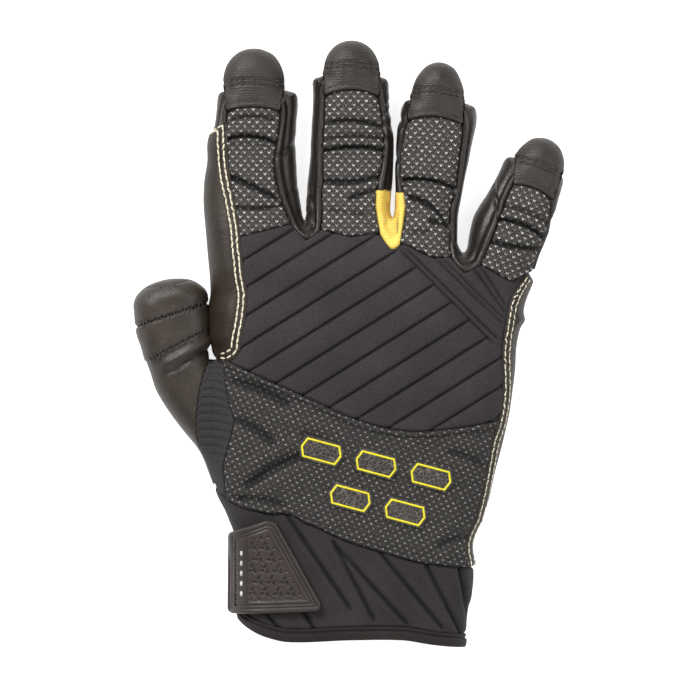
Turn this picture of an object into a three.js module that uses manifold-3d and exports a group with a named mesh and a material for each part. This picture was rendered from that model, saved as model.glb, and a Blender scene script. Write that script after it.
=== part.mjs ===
// A right-hand sailing glove lying palm down, back up, fingers along +Y, thumb on the -X side.
// Every cloth and leather piece is a thin wall over one common skin: the plan outline of the
// glove, with a rounded roll from back to palm, and a crest height that changes along the hand.
import * as THREE from 'three';
import Module from 'manifold-3d';

const wasm = await Module();
wasm.setup();

// Driving sizes in millimetres
const handWidth = 115.2;
const palmLength = 101.5;
const fingerLength = 72;
const cuffLength = 45.4;
const thumbReach = 29.5;
const thumbLength = 30;
const palmHeight = 24;
const fingerHeight = 15.5;
const thumbHeight = 17;
const cuffHeight = 22;
const fingerRoll = 8;
const handRoll = 11;
const leatherWall = 1.3;
const meshWall = 1.4;
const neopreneWall = 2;
const seamGap = 0.32;
const ribDepth = 0.8;
const ribWidth = 1.8;
const ribPitch = 8.7;
const ribAngle = THREE.MathUtils.degToRad(32);
const foldDepth = 1.1;
const foldReach = 2.4;
const bindingHeight = 4.4;
const bindingWall = 2.6;
const strapWall = 0.9;
const tabWall = 1.7;
const padWall = 1.2;
const padLength = 17;
const padHeight = 9;
const padTilt = THREE.MathUtils.degToRad(-15);

// Proportions of the skin
const midShare = 0.42;
const crownShare = 0.12;
const palmEdgeAngle = THREE.MathUtils.degToRad(38);
const palmRollAngle = THREE.MathUtils.degToRad(64);
const earRise = 0.012;
const nearEdge = 0.5;
const halfGap = seamGap / 2;
const padTaper = 0.22;
const strapLift = 1.6 * seamGap + strapWall;
const tabLift = strapLift + 1.5 * seamGap + tabWall;

const knuckleLine = cuffLength + palmLength;
const handEdge = -0.427 * handWidth;
const across = (share) => share * handWidth;
const rise = (up) => (up < 0 ? cuffLength * (1 + up) : cuffLength + up * palmLength);
const mix = (a, b, k) => a + (b - a) * k;
const steps = (count) => Array.from({ length: count + 1 }, (_, i) => i / count);
const smooth = (k) => {
  const c = Math.min(1, Math.max(0, k));
  return c * c * (3 - 2 * c);
};

// A smooth curve through the rows of a table, from one column to another, straight beyond its ends
function curve(rows, from, to) {
  const xs = rows.map((row) => row[from]);
  const ys = rows.map((row) => row[to]);
  const last = xs.length - 1;
  const slopeOf = (i, j) => (ys[j] - ys[i]) / (xs[j] - xs[i]);
  const slopes = xs.map((_, i) => slopeOf(Math.max(0, i - 1), Math.min(last, i + 1)));
  return (x) => {
    const rising = xs[last] > xs[0];
    const before = rising ? x <= xs[0] : x >= xs[0];
    const after = rising ? x >= xs[last] : x <= xs[last];
    if (before) return ys[0] + slopes[0] * (x - xs[0]);
    if (after) return ys[last] + slopes[last] * (x - xs[last]);
    let i = 0;
    while (rising ? x > xs[i + 1] : x < xs[i + 1]) i += 1;
    const span = xs[i + 1] - xs[i];
    const k = (x - xs[i]) / span;
    const a = (2 * k ** 3 - 3 * k ** 2 + 1) * ys[i] + (k ** 3 - 2 * k ** 2 + k) * span * slopes[i];
    const b = (3 * k ** 2 - 2 * k ** 3) * ys[i + 1] + (k ** 3 - k ** 2) * span * slopes[i + 1];
    return a + b;
  };
}

// A table with its shares turned into lengths, a straight-sided line through them
function brokenLine(points) {
  return (x) => {
    let i = 0;
    while (i < points.length - 2 && x > points[i + 1].x) i += 1;
    const k = (x - points[i].x) / (points[i + 1].x - points[i].x);
    return mix(points[i].y, points[i + 1].y, k);
  };
}

// Fingers: root place, length and lean, then half widths and seam places at stations along them.
// Stations are shares of the finger's length, everything sideways is a share of handWidth.
// up and down are the stations where the outline starts up the finger and ends down it.
const fingerTable = [
  {
    name: 'index', up: 0.05, down: 0.13, root: -0.3047, drop: 0, length: 0.96, lean: 0.3, ear: 0.77,
    capLeft: 0.1, capRight: 0.1, dome: 1.03, capSeam: 0.665, seamArch: 0.02,
    rows: [
      { at: 0.08, left: 0.144, right: 0.158, seamLeft: 0.049, seamRight: 0.1185 },
      { at: 0.2, left: 0.15, right: 0.147, seamLeft: 0.0625, seamRight: 0.0875 },
      { at: 0.3, left: 0.147, right: 0.1375, seamLeft: 0.075, seamRight: 0.071 },
      { at: 0.4, left: 0.139, right: 0.134, seamLeft: 0.0825, seamRight: 0.0644 },
      { at: 0.5, left: 0.139, right: 0.13, seamLeft: 0.086, seamRight: 0.0734 },
      { at: 0.6, left: 0.123, right: 0.133, seamLeft: 0.086, seamRight: 0.083 },
      { at: 0.7, left: 0.116, right: 0.1375, seamLeft: 0.083, seamRight: 0.085 },
      { at: 0.77, left: 0.1145, right: 0.1375, seamLeft: 0.084, seamRight: 0.086 },
    ],
    folds: [{ at: 0.17, depth: 0.5 }, { at: 0.33, depth: 0.7 }, { at: 0.5, depth: 1 }],
  },
  {
    name: 'middle', up: 0.13, down: 0.14, root: -0.0047, drop: 0, length: 1, lean: 0.6, ear: 0.81,
    capLeft: 0.091, capRight: 0.097, dome: 1.15, capSeam: 0.715, seamArch: 0.03,
    rows: [
      { at: 0.08, left: 0.133, right: 0.13, seamLeft: 0.085, seamRight: 0.087 },
      { at: 0.2, left: 0.1325, right: 0.13, seamLeft: 0.0856, seamRight: 0.083 },
      { at: 0.3, left: 0.13, right: 0.1356, seamLeft: 0.083, seamRight: 0.093 },
      { at: 0.4, left: 0.124, right: 0.1375, seamLeft: 0.084, seamRight: 0.103 },
      { at: 0.5, left: 0.122, right: 0.1375, seamLeft: 0.0845, seamRight: 0.106 },
      { at: 0.6, left: 0.119, right: 0.1265, seamLeft: 0.082, seamRight: 0.1 },
      { at: 0.7, left: 0.117, right: 0.1206, seamLeft: 0.081, seamRight: 0.09 },
      { at: 0.81, left: 0.12, right: 0.12, seamLeft: 0.08, seamRight: 0.086 },
    ],
    folds: [{ at: 0.3, depth: 0.7 }, { at: 0.43, depth: 1 }, { at: 0.565, depth: 0.7 }],
  },
  {
    name: 'ring', up: 0.21, down: 0.06, root: 0.2344, drop: 0.0426, length: 0.9535, lean: 4.96, ear: 0.785,
    capLeft: 0.094, capRight: 0.088, dome: 1.55, capSeam: 0.675, seamArch: 0.03,
    rows: [
      { at: 0.02, left: 0.1047, right: 0.1, seamLeft: 0.07, seamRight: 0.0775 },
      { at: 0.2, left: 0.106, right: 0.0938, seamLeft: 0.076, seamRight: 0.0656 },
      { at: 0.3, left: 0.109, right: 0.099, seamLeft: 0.088, seamRight: 0.0745 },
      { at: 0.4, left: 0.115, right: 0.1047, seamLeft: 0.099, seamRight: 0.0795 },
      { at: 0.5, left: 0.117, right: 0.1125, seamLeft: 0.103, seamRight: 0.082 },
      { at: 0.6, left: 0.1197, right: 0.1188, seamLeft: 0.099, seamRight: 0.0845 },
      { at: 0.7, left: 0.1134, right: 0.126, seamLeft: 0.088, seamRight: 0.082 },
      { at: 0.785, left: 0.109, right: 0.122, seamLeft: 0.083, seamRight: 0.081 },
    ],
    folds: [{ at: 0.2, depth: 0.7 }, { at: 0.353, depth: 1 }],
  },
  {
    name: 'little', up: 0.08, down: 0.1, root: 0.464, drop: 0.1135, length: 0.7105, lean: 20.6, ear: 0.786,
    capLeft: 0.083, capRight: 0.086, dome: 1.2, capSeam: 0.6, seamArch: 0.03,
    rows: [
      { at: 0.05, left: 0.115, right: 0.103, seamLeft: 0.0594, seamRight: 0.094 },
      { at: 0.2, left: 0.128, right: 0.1, seamLeft: 0.0553, seamRight: 0.0906 },
      { at: 0.3, left: 0.133, right: 0.1025, seamLeft: 0.0547, seamRight: 0.093 },
      { at: 0.4, left: 0.125, right: 0.1016, seamLeft: 0.056, seamRight: 0.092 },
      { at: 0.5, left: 0.1156, right: 0.1, seamLeft: 0.0584, seamRight: 0.086 },
      { at: 0.6, left: 0.109, right: 0.098, seamLeft: 0.055, seamRight: 0.079 },
      { at: 0.7, left: 0.106, right: 0.095, seamLeft: 0.0588, seamRight: 0.074 },
      { at: 0.786, left: 0.105, right: 0.092, seamLeft: 0.0625, seamRight: 0.07 },
    ],
    folds: [{ at: 0.2, depth: 0.6 }, { at: 0.32, depth: 1 }],
  },
];

// The thumb, from its crotch up, sideways as shares of thumbReach
const thumbTable = {
  out: 0.402, up: 0.567, lean: -9.8, dome: 0.72, bandLow: 0.06, bandHigh: 0.5, bandSlant: 0.27,
  rows: [
    { at: 0, left: 0.415, right: 0.366 },
    { at: 0.4, left: 0.476, right: 0.439 },
    { at: 0.7, left: 0.46, right: 0.45 },
    { at: 1, left: 0.44, right: 0.43 },
  ],
};

// Outer edge of the hand from the cuff's mouth up to the thumb, out from the hand's edge
const thumbSideRows = [
  { up: -1, out: -0.32 },
  { up: -0.635, out: -0.288 },
  { up: -0.317, out: -0.288 },
  { up: -0.079, out: -0.235 },
  { up: 0.028, out: -0.15 },
  { up: 0.0887, out: -0.037 },
  { up: 0.142, out: 0.024 },
  { up: 0.248, out: 0.183 },
  { up: 0.319, out: 0.378 },
  { up: 0.39, out: 0.561 },
  { up: 0.461, out: 0.707 },
  { up: 0.525, out: 0.78 },
];

// Index side of the hand above the thumb crotch
const indexSideRows = [
  { up: 0.585, across: -0.4275 },
  { up: 0.674, across: -0.428 },
  { up: 0.78, across: -0.43 },
  { up: 0.869, across: -0.434 },
  { up: 0.94, across: -0.44 },
];

// Outer edge of the hand below the little finger, down to the cuff's mouth
const littleSideRows = [
  { up: 0.851, across: 0.57 },
  { up: 0.78, across: 0.545 },
  { up: 0.716, across: 0.533 },
  { up: 0.62, across: 0.517 },
  { up: 0.496, across: 0.508 },
  { up: 0.355, across: 0.489 },
  { up: 0.213, across: 0.458 },
  { up: 0.071, across: 0.4266 },
  { up: -0.0635, across: 0.395 },
  { up: -0.198, across: 0.378 },
  { up: -0.397, across: 0.386 },
  { up: -0.571, across: 0.38 },
  { up: -0.73, across: 0.367 },
  { up: -0.889, across: 0.36 },
  { up: -1, across: 0.36 },
];

// Crotches between fingers: last stations of the two sides, the lowest point of the slit and the
// three corners of the knuckle seam's V above it
const crotchTable = [
  {
    left: 'index', right: 'middle', from: 0.13, to: 0.13, across: -0.142, up: 1.0674,
    seam: ['index_right', 'index_middle', 'middle_left'],
  },
  {
    left: 'middle', right: 'ring', from: 0.14, to: 0.21, across: 0.1328, up: 1.078,
    seam: ['middle_right', 'middle_ring', 'ring_left'],
  },
  {
    left: 'ring', right: 'little', from: 0.06, to: 0.08, across: 0.3516, up: 0.954,
    seam: ['ring_right', 'ring_little', 'little_left'],
  },
];

// Seam between the finger backs and the back panel; it dips in a V at each crotch
const knuckleSeamRows = [
  { corner: 'index_left', across: -0.3484, up: 1.0053 },
  { corner: 'index_right', across: -0.186, up: 1.0532 },
  { corner: 'index_middle', across: -0.139, up: 0.9929 },
  { corner: 'middle_left', across: -0.089, up: 1.0319 },
  { corner: 'middle_centre', across: 0.0016, up: 1.0071 },
  { corner: 'middle_right', across: 0.0828, up: 1.0213 },
  { corner: 'middle_ring', across: 0.1266, up: 0.961 },
  { corner: 'ring_left', across: 0.1672, up: 0.9823 },
  { corner: 'ring_centre', across: 0.2516, up: 0.9362 },
  { corner: 'ring_right', across: 0.314, up: 0.9362 },
  { corner: 'ring_little', across: 0.3547, up: 0.8794 },
  { corner: 'little_left', across: 0.4078, up: 0.9078 },
  { corner: 'little_centre', across: 0.5, up: 0.85 },
  { corner: 'little_right', across: 0.564, up: 0.883 },
];

// Seam between the back panel and the mesh, and between the mesh and the cuff
const backSeamRows = [
  { across: -0.38, up: 0.564 },
  { across: -0.283, up: 0.511 },
  { across: -0.155, up: 0.447 },
  { across: 0.023, up: 0.358 },
  { across: 0.18, up: 0.319 },
  { across: 0.355, up: 0.333 },
  { across: 0.47, up: 0.358 },
];
const cuffSeamRows = [
  { across: -0.44, up: 0.12 },
  { across: -0.39, up: 0.085 },
  { across: -0.336, up: 0.055 },
  { across: -0.255, up: 0.032 },
  { across: -0.186, up: 0.028 },
  { across: -0.108, up: -0.032 },
  { across: -0.03, up: -0.127 },
  { across: 0.052, up: -0.198 },
  { across: 0.223, up: -0.317 },
  { across: 0.386, up: -0.365 },
];
const palmSeamRows = [
  { across: -0.44, up: 0.12 },
  { across: -0.34, up: 0.1 },
  { across: -0.2, up: 0.02 },
  { across: 0, up: -0.12 },
  { across: 0.17, up: -0.29 },
  { across: 0.28, up: -0.355 },
  { across: 0.386, up: -0.365 },
];
const mouthRows = [
  { across: -0.36, up: -0.76 },
  { across: -0.3266, up: -0.83 },
  { across: -0.27, up: -0.9 },
  { across: -0.19, up: -0.945 },
  { across: 0, up: -0.93 },
  { across: 0.16, up: -0.93 },
  { across: 0.25, up: -0.965 },
  { across: 0.361, up: -1 },
];

// Edge of the side patch, which is the left edge of the back panel
const patchEdgeRows = [
  { up: 1.02, across: -0.3516 },
  { up: 0.943, across: -0.343 },
  { up: 0.869, across: -0.336 },
  { up: 0.801, across: -0.3266 },
  { up: 0.716, across: -0.333 },
  { up: 0.667, across: -0.341 },
  { up: 0.61, across: -0.3516 },
  { up: 0.567, across: -0.375 },
];

// Depth of the leather strip along the little finger's side of the hand
const stripDepthRows = [
  { up: 0.883, depth: 0.027 },
  { up: 0.83, depth: 0.038 },
  { up: 0.77, depth: 0.044 },
  { up: 0.69, depth: 0.043 },
  { up: 0.556, depth: 0.0375 },
  { up: 0.443, depth: 0.027 },
  { up: 0.347, depth: 0.026 },
  { up: 0.283, depth: 0.031 },
  { up: 0.2, depth: 0.026 },
  { up: 0.07, depth: 0.02 },
  { up: -0.14, depth: 0.018 },
  { up: -0.365, depth: 0.014 },
];

// Thumb gusset: its seam with the thumb's leather and its seam with the mesh
const gussetRows = [
  { up: 0.56, left: -0.443, right: -0.395 },
  { up: 0.504, left: -0.461, right: -0.39 },
  { up: 0.426, left: -0.4735, right: -0.379 },
  { up: 0.355, left: -0.48, right: -0.362 },
  { up: 0.27, left: -0.4735, right: -0.377 },
  { up: 0.19, left: -0.443, right: -0.395 },
  { up: 0.15, left: -0.43, right: -0.392 },
  { up: 0.08, left: -0.405, right: -0.383 },
  { up: 0.0, left: -0.37, right: -0.342 },
];

const patchTop = 0.61;

// Stations round a crotch
const turns = [0.12, 0.31, 0.5, 0.69, 0.88];

// Grooves of the back panel: evenly spaced ribs up to a slanted stop line, and three past it
const ribStart = { across: -0.342, up: 0.915, count: 9 };
const ribSpan = { from: -0.35, to: 0.44 };
const ribStop = { across: 0.142, up: 0.968, toAcross: 0.45, toUp: 0.62 };
const backGrooveRows = [
  { across: 0.155, up: 0.98, toAcross: 0.47, toUp: 0.638, parts: 6 },
  { across: 0.236, up: 0.955, toAcross: 0.48, toUp: 0.71, parts: 5 },
  { across: 0.4, up: 0.9, toAcross: 0.486, toUp: 0.745, parts: 3 },
];
const cuffGrooveRows = [
  { across: -0.2, up: 0.01, toAcross: 0.0, toUp: -0.7, parts: 5 },
  { across: -0.04, up: -0.2, toAcross: 0.19, toUp: -0.8, parts: 5 },
  { across: 0.092, up: -0.27, toAcross: 0.3, toUp: -0.83, parts: 5 },
  { across: 0.233, up: -0.36, toAcross: 0.34, toUp: -0.86, parts: 4 },
];

// Strap: how far it reaches over the back of the wrist. Tab: its two sides at heights along the cuff;
// edge marks the rows that start from the outline of the wrist.
const strapRows = [
  { up: -0.64, across: -0.18 },
  { up: -0.5, across: -0.194 },
  { up: -0.36, across: -0.208 },
  { up: -0.2, across: -0.224 },
];
const tabRows = [
  { up: -0.73, edge: true, left: -0.37, right: -0.1 },
  { up: -0.69, edge: true, left: -0.37, right: -0.083 },
  { up: -0.6, edge: true, left: -0.37, right: -0.09 },
  { up: -0.4, edge: true, left: -0.37, right: -0.133 },
  { up: -0.2, edge: true, left: -0.37, right: -0.175 },
  { up: -0.04, edge: true, left: -0.37, right: -0.208 },
  { up: 0.005, edge: false, left: -0.34, right: -0.225 },
];

// Raised pads on the mesh panel: long slanted six-sided plates in two rows
const padTable = [
  { name: 'pad_1', across: -0.09, up: 0.25 },
  { name: 'pad_2', across: 0.08, up: 0.205 },
  { name: 'pad_3', across: 0.25, up: 0.16 },
  { name: 'pad_4', across: 0.0, up: 0.085 },
  { name: 'pad_5', across: 0.17, up: 0.035 },
];

// Fingers as frames with side curves
function makeFinger(row) {
  const lean = THREE.MathUtils.degToRad(row.lean);
  const axis = new THREE.Vector2(Math.sin(lean), Math.cos(lean));
  const side = new THREE.Vector2(Math.cos(lean), -Math.sin(lean));
  const root = new THREE.Vector2(across(row.root), knuckleLine - row.drop * palmLength);
  const length = row.length * fingerLength;
  const column = (key) => {
    const share = curve(row.rows, 'at', key);
    return (at) => across(share(at));
  };
  const place = (at, s) => root.clone().addScaledVector(axis, at * length).addScaledVector(side, s);
  return {
    ...row, axis, side, root, reach: length, place,
    left: column('left'), right: column('right'),
    seamLeft: column('seamLeft'), seamRight: column('seamRight'),
  };
}
const fingers = Object.fromEntries(fingerTable.map((row) => [row.name, makeFinger(row)]));
const clear = (finger) => seamGap / finger.reach;

// The thumb as the same kind of frame
function makeThumb(row) {
  const lean = THREE.MathUtils.degToRad(row.lean);
  const axis = new THREE.Vector2(Math.sin(lean), Math.cos(lean));
  const side = new THREE.Vector2(Math.cos(lean), -Math.sin(lean));
  const root = new THREE.Vector2(handEdge - row.out * thumbReach, rise(row.up));
  const left = curve(row.rows, 'at', 'left');
  const right = curve(row.rows, 'at', 'right');
  return {
    ...row, axis, side, root, reach: thumbLength,
    place: (at, s) => root.clone().addScaledVector(axis, at * thumbLength).addScaledVector(side, s),
    left: (at) => thumbReach * left(at),
    right: (at) => thumbReach * right(at),
  };
}
const thumb = makeThumb(thumbTable);

// Quarter-round: 0 at the outline, 1 where the roll ends
const quarter = (k) => (k >= 1 ? 1 : Math.sqrt(1 - (1 - Math.max(0, k)) ** 2));

// Half widths of a closed tip at a station: straight up to the dome, then a rounded end
function tipWidth(left, right, remaining, domeLength) {
  const k = quarter(remaining / domeLength);
  const centre = (right - left) / 2;
  const half = ((left + right) / 2) * k;
  return { centre, half };
}

function capOutline(finger, at) {
  const left = across(finger.capLeft);
  const right = across(finger.capRight);
  const domeLength = (finger.dome * (left + right)) / 2;
  return tipWidth(left, right, (1 - at) * finger.reach, domeLength);
}

function thumbOutline(at) {
  const low = Math.min(at, thumb.dome);
  return tipWidth(thumb.left(low), thumb.right(low), (1 - at) * thumbLength, (1 - thumb.dome) * thumbLength);
}

// The outline as a dense line, from the cuff's mouth at the thumb side round to the mouth again
const outline = [];
const addPoint = (point, roll) => outline.push({ x: point.x, y: point.y, roll });
const thumbSideEnd = thumbSideRows[thumbSideRows.length - 1].up;
const indexSideStart = indexSideRows[0].up;
const indexSideEnd = indexSideRows[indexSideRows.length - 1].up;
const thumbSideOut = curve(thumbSideRows, 'up', 'out');
const thumbSide = (up) => new THREE.Vector2(handEdge - thumbReach * thumbSideOut(up), rise(up));
const indexSideAcross = curve(indexSideRows, 'up', 'across');
const indexSide = (up) => new THREE.Vector2(across(indexSideAcross(up)), rise(up));
const littleSideAcross = curve(littleSideRows, 'up', 'across');
const littleSide = (up) => new THREE.Vector2(across(littleSideAcross(up)), rise(up));
const domeStations = steps(10).map((k) => Math.sin((k * Math.PI) / 2));

function crotchArc(a, low, b) {
  const control = new THREE.Vector2(2 * low.x - (a.x + b.x) / 2, 2 * low.y - (a.y + b.y) / 2);
  return (k) => new THREE.QuadraticBezierCurve(a, control, b).getPoint(k);
}

const crotches = crotchTable.map((row) => {
  const a = fingers[row.left];
  const b = fingers[row.right];
  const start = a.place(row.from, a.right(row.from));
  const end = b.place(row.to, -b.left(row.to));
  const low = new THREE.Vector2(across(row.across), rise(0) + row.up * palmLength);
  return { ...row, a, b, arc: crotchArc(start, low, end) };
});
const thumbCrotchArc = crotchArc(
  thumb.place(0, thumb.right(0)),
  new THREE.Vector2((thumb.place(0, thumb.right(0)).x + indexSide(indexSideStart).x) / 2, rise(0.568)),
  indexSide(indexSideStart),
);

function addFinger(finger, from, to) {
  for (const k of steps(20)) {
    const at = mix(from, finger.ear, k);
    addPoint(finger.place(at, -finger.left(at)), fingerRoll);
  }
  const domeFrom = finger.ear + 0.015;
  for (const k of domeStations) {
    const at = mix(domeFrom, 1, k);
    const tip = capOutline(finger, at);
    addPoint(finger.place(at, tip.centre - tip.half), fingerRoll);
  }
  for (const k of domeStations.slice(0, -1).reverse()) {
    const at = mix(domeFrom, 1, k);
    const tip = capOutline(finger, at);
    addPoint(finger.place(at, tip.centre + tip.half), fingerRoll);
  }
  for (const k of steps(20)) {
    const at = mix(finger.ear, to, k);
    addPoint(finger.place(at, finger.right(at)), fingerRoll);
  }
}

for (const k of steps(50)) {
  const up = mix(-1, thumbSideEnd, k);
  addPoint(thumbSide(up), mix(handRoll, fingerRoll, smooth((up + 0.1) / 0.4)));
}
for (const k of steps(12)) {
  const at = mix(0.03, thumb.dome, k);
  addPoint(thumb.place(at, -thumb.left(at)), fingerRoll);
}
for (const k of domeStations.slice(1)) {
  const tip = thumbOutline(mix(thumb.dome, 1, k));
  addPoint(thumb.place(mix(thumb.dome, 1, k), tip.centre - tip.half), fingerRoll);
}
for (const k of domeStations.slice(1, -1).reverse()) {
  const tip = thumbOutline(mix(thumb.dome, 1, k));
  addPoint(thumb.place(mix(thumb.dome, 1, k), tip.centre + tip.half), fingerRoll);
}
for (const k of steps(12).slice(0, -1)) {
  const at = mix(thumb.dome, 0, k);
  addPoint(thumb.place(at, thumb.right(at)), fingerRoll);
}
for (const k of steps(8)) addPoint(thumbCrotchArc(k), fingerRoll);
for (const k of steps(24).slice(1)) addPoint(indexSide(mix(indexSideStart, indexSideEnd, k)), fingerRoll);
fingerTable.forEach((row, i) => {
  addFinger(fingers[row.name], row.up, row.down);
  if (i < crotches.length) {
    for (const k of steps(10).slice(1, -1)) addPoint(crotches[i].arc(k), fingerRoll);
  }
});
for (const k of steps(60)) {
  const up = mix(littleSideRows[0].up, -1, k);
  addPoint(littleSide(up), mix(fingerRoll, handRoll, smooth((0.85 - up) / 0.3)));
}

// Distance from the outline at a plan point, with the direction away from it and the roll there
function nearest(x, y) {
  let best = Infinity;
  let found = null;
  for (let i = 0; i < outline.length - 1; i += 1) {
    const a = outline[i];
    const b = outline[i + 1];
    const ex = b.x - a.x;
    const ey = b.y - a.y;
    const size = ex * ex + ey * ey;
    if (size < 1e-12) continue;
    const k = Math.min(1, Math.max(0, ((x - a.x) * ex + (y - a.y) * ey) / size));
    const dx = x - a.x - k * ex;
    const dy = y - a.y - k * ey;
    const d = dx * dx + dy * dy;
    if (d < best) {
      best = d;
      found = { dx, dy, ex, ey, roll: mix(a.roll, b.roll, k) };
    }
  }
  const d = Math.sqrt(best);
  const edge = Math.hypot(found.ex, found.ey);
  const inward = { x: found.ey / edge, y: -found.ex / edge };
  const inside = found.dx * inward.x + found.dy * inward.y > 0 || d > nearEdge;
  const away = inside && d > nearEdge / 10 ? { x: found.dx / d, y: found.dy / d } : inward;
  return { d: inside ? d : 0, away, roll: found.roll };
}

// Height of the back's crest along the hand, with a crown across it and the thumb lower
const crestAlong = curve([
  { y: 0, height: cuffHeight },
  { y: rise(0), height: cuffHeight },
  { y: rise(0.3), height: palmHeight * 0.97 },
  { y: rise(0.6), height: palmHeight },
  { y: rise(0.85), height: palmHeight * 0.9 },
  { y: rise(1), height: mix(palmHeight, fingerHeight, 0.6) },
  { y: knuckleLine + fingerLength * 0.3, height: fingerHeight },
  { y: knuckleLine + fingerLength, height: fingerHeight * 0.88 },
], 'y', 'height');

function crest(x, y) {
  const hand = smooth((knuckleLine - y) / (palmLength * 0.2));
  const crown = 1 - crownShare * hand * (x / (handWidth / 2)) ** 2;
  const thumbSpan = across(0.09);
  const low = smooth((rise(0.9) - y) / (palmLength * 0.15)) * smooth((y - rise(0.05)) / (palmLength * 0.3));
  const toThumb = low * smooth((handEdge + thumbSpan - x) / thumbSpan);
  return mix(crestAlong(y) * crown, thumbHeight, toThumb);
}

// A point of the skin over or under a plan point, with its outward direction
function backSkin(x, y) {
  const { d, away, roll } = nearest(x, y);
  const high = crest(x, y);
  const middle = high * midShare;
  const q = quarter(d / roll);
  const lean = (high - middle) * Math.max(0, 1 - d / roll);
  const normal = new THREE.Vector3(-away.x * lean, -away.y * lean, roll * q).normalize();
  return { point: new THREE.Vector3(x, y, middle + (high - middle) * q), normal };
}
function palmSkin(x, y) {
  const { d, away, roll } = nearest(x, y);
  const middle = crest(x, y) * midShare;
  const q = quarter(d / roll);
  const lean = middle * Math.max(0, 1 - d / roll);
  const normal = new THREE.Vector3(-away.x * lean, -away.y * lean, -roll * q).normalize();
  return { point: new THREE.Vector3(x, y, middle * (1 - q)), normal };
}

// Outward directions worked out from a sheet's own faces, for the points that have none yet
function withNormals(sheet) {
  const sums = sheet.skin.map(() => new THREE.Vector3());
  const centre = new THREE.Vector3();
  for (const { point } of sheet.skin) centre.addScaledVector(point, 1 / sheet.skin.length);
  let outward = 0;
  for (const [a, b, c] of sheet.faces) {
    const [p, q, r] = [a, b, c].map((i) => sheet.skin[i].point);
    const normal = q.clone().sub(p).cross(r.clone().sub(p));
    outward += normal.dot(p.clone().sub(centre));
    for (const i of [a, b, c]) sums[i].add(normal);
  }
  const sign = Math.sign(outward);
  return sheet.skin.map(({ point, normal }, i) => (
    { point, normal: normal ?? sums[i].multiplyScalar(sign).normalize() }
  ));
}

// An open sheet of skin points becomes a closed wall: a copy moved along the outward direction,
// turned over, and joined to it along every free edge
function wallFrom(sheet, wall, lift = 0) {
  const skin = withNormals(sheet);
  const count = skin.length;
  const points = [];
  for (const offset of [lift, lift - wall]) {
    for (const { point, normal } of skin) points.push(point.clone().addScaledVector(normal, offset));
  }
  const faces = [];
  const edges = new Map();
  for (const [a, b, c] of sheet.faces) {
    faces.push([a, b, c], [a + count, c + count, b + count]);
    for (const [p, q] of [[a, b], [b, c], [c, a]]) {
      if (edges.has(`${q},${p}`)) edges.delete(`${q},${p}`);
      else edges.set(`${p},${q}`, [p, q]);
    }
  }
  for (const [p, q] of edges.values()) {
    faces.push([q, p, p + count], [q, p + count, q + count]);
  }
  return closedGeometry(points, faces);
}

function closedGeometry(points, faces) {
  let volume = 0;
  for (const [a, b, c] of faces) volume += points[a].dot(points[b].clone().cross(points[c]));
  const turned = volume < 0 ? faces.map(([a, b, c]) => [a, c, b]) : faces;
  const geometry = new THREE.BufferGeometry();
  geometry.setAttribute('position', new THREE.Float32BufferAttribute(points.flatMap((p) => p.toArray()), 3));
  geometry.setIndex(turned.flat());
  return geometry;
}

// A sheet from rows of skin points; closed rows are rings, and a last single point is a pole
function sheetFromRows(rows, ring = false) {
  const skin = rows.flat();
  const faces = [];
  let start = 0;
  for (let j = 0; j + 1 < rows.length; j += 1) {
    const here = rows[j].length;
    const next = start + here;
    const pole = rows[j + 1].length === 1;
    const last = ring ? here : here - 1;
    for (let i = 0; i < last; i += 1) {
      const a = start + i;
      const b = start + ((i + 1) % here);
      if (pole) {
        faces.push([a, b, next]);
      } else {
        const c = next + ((i + 1) % here);
        const d = next + i;
        faces.push([a, b, c], [a, c, d]);
      }
    }
    start = next;
  }
  return { skin, faces };
}

// Plan point between an outline point and a seam point, close together near the outline
const rollShare = (k) => 1 - Math.cos((k * Math.PI) / 2);
const between = (a, b, k) => new THREE.Vector2(mix(a.x, b.x, k), mix(a.y, b.y, k));
function pulled(from, to, gap) {
  const span = from.distanceTo(to);
  return between(from, to, Math.max(0.2, 1 - gap / span));
}

// Palm edge of the skin under an outline point
function palmEdge(base, angle) {
  const { away, roll } = nearest(base.x, base.y);
  const depth = roll * (1 - Math.cos(angle));
  return new THREE.Vector2(base.x + away.x * depth, base.y + away.y * depth);
}

// One section of a side strip: under the outline, on it, and up to the seam with the back
const stripEdgeAngle = palmEdgeAngle - seamGap / fingerRoll;
function stripSection(base, seam, aboveCount = 2, under = palmEdge(base, stripEdgeAngle), gap = seamGap / 2) {
  const top = pulled(base, seam, gap);
  const below = [1, 0.3].map((k) => between(base, under, k)).map((p) => palmSkin(p.x, p.y));
  const above = steps(aboveCount).map((k) => between(base, top, rollShare(k))).map((p) => backSkin(p.x, p.y));
  return [...below, ...above];
}
const strip = (sections, wall, lift = 0) => wallFrom(sheetFromRows(sections), wall, lift);

const sideBase = (finger, at, sign) => finger.place(at, sign < 0 ? -finger.left(at) : finger.right(at));
const sideSeam = (finger, at, sign) => (
  finger.place(at, sign < 0 ? -finger.seamLeft(at) : finger.seamRight(at)));
const capSide = (finger, sign) => across(sign < 0 ? -finger.capLeft : finger.capRight);

// Side strip of a finger from a station up to the cap, closed in at its top so that it stands as an ear
function fingerSide(finger, sign, from, count) {
  const seamEnd = finger.capSeam - seamGap / finger.reach;
  const sections = steps(count).map((k) => {
    const at = mix(from, finger.ear, k);
    return stripSection(sideBase(finger, at, sign), sideSeam(finger, mix(from, seamEnd, k), sign));
  });
  const shoulder = finger.place(finger.ear + earRise, capSide(finger, sign) + sign * seamGap);
  const seam = sideSeam(finger, seamEnd + seamGap / finger.reach / 2, sign);
  const depth = fingerRoll * (1 - Math.cos(stripEdgeAngle));
  const under = finger.place(finger.ear + 2 * clear(finger), capSide(finger, sign) - sign * depth);
  const end = stripSection(shoulder, seam, 2, under);
  end[3].point.lerpVectors(end[2].point, end[4].point, 0.5);
  return [...sections, end];
}

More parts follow.
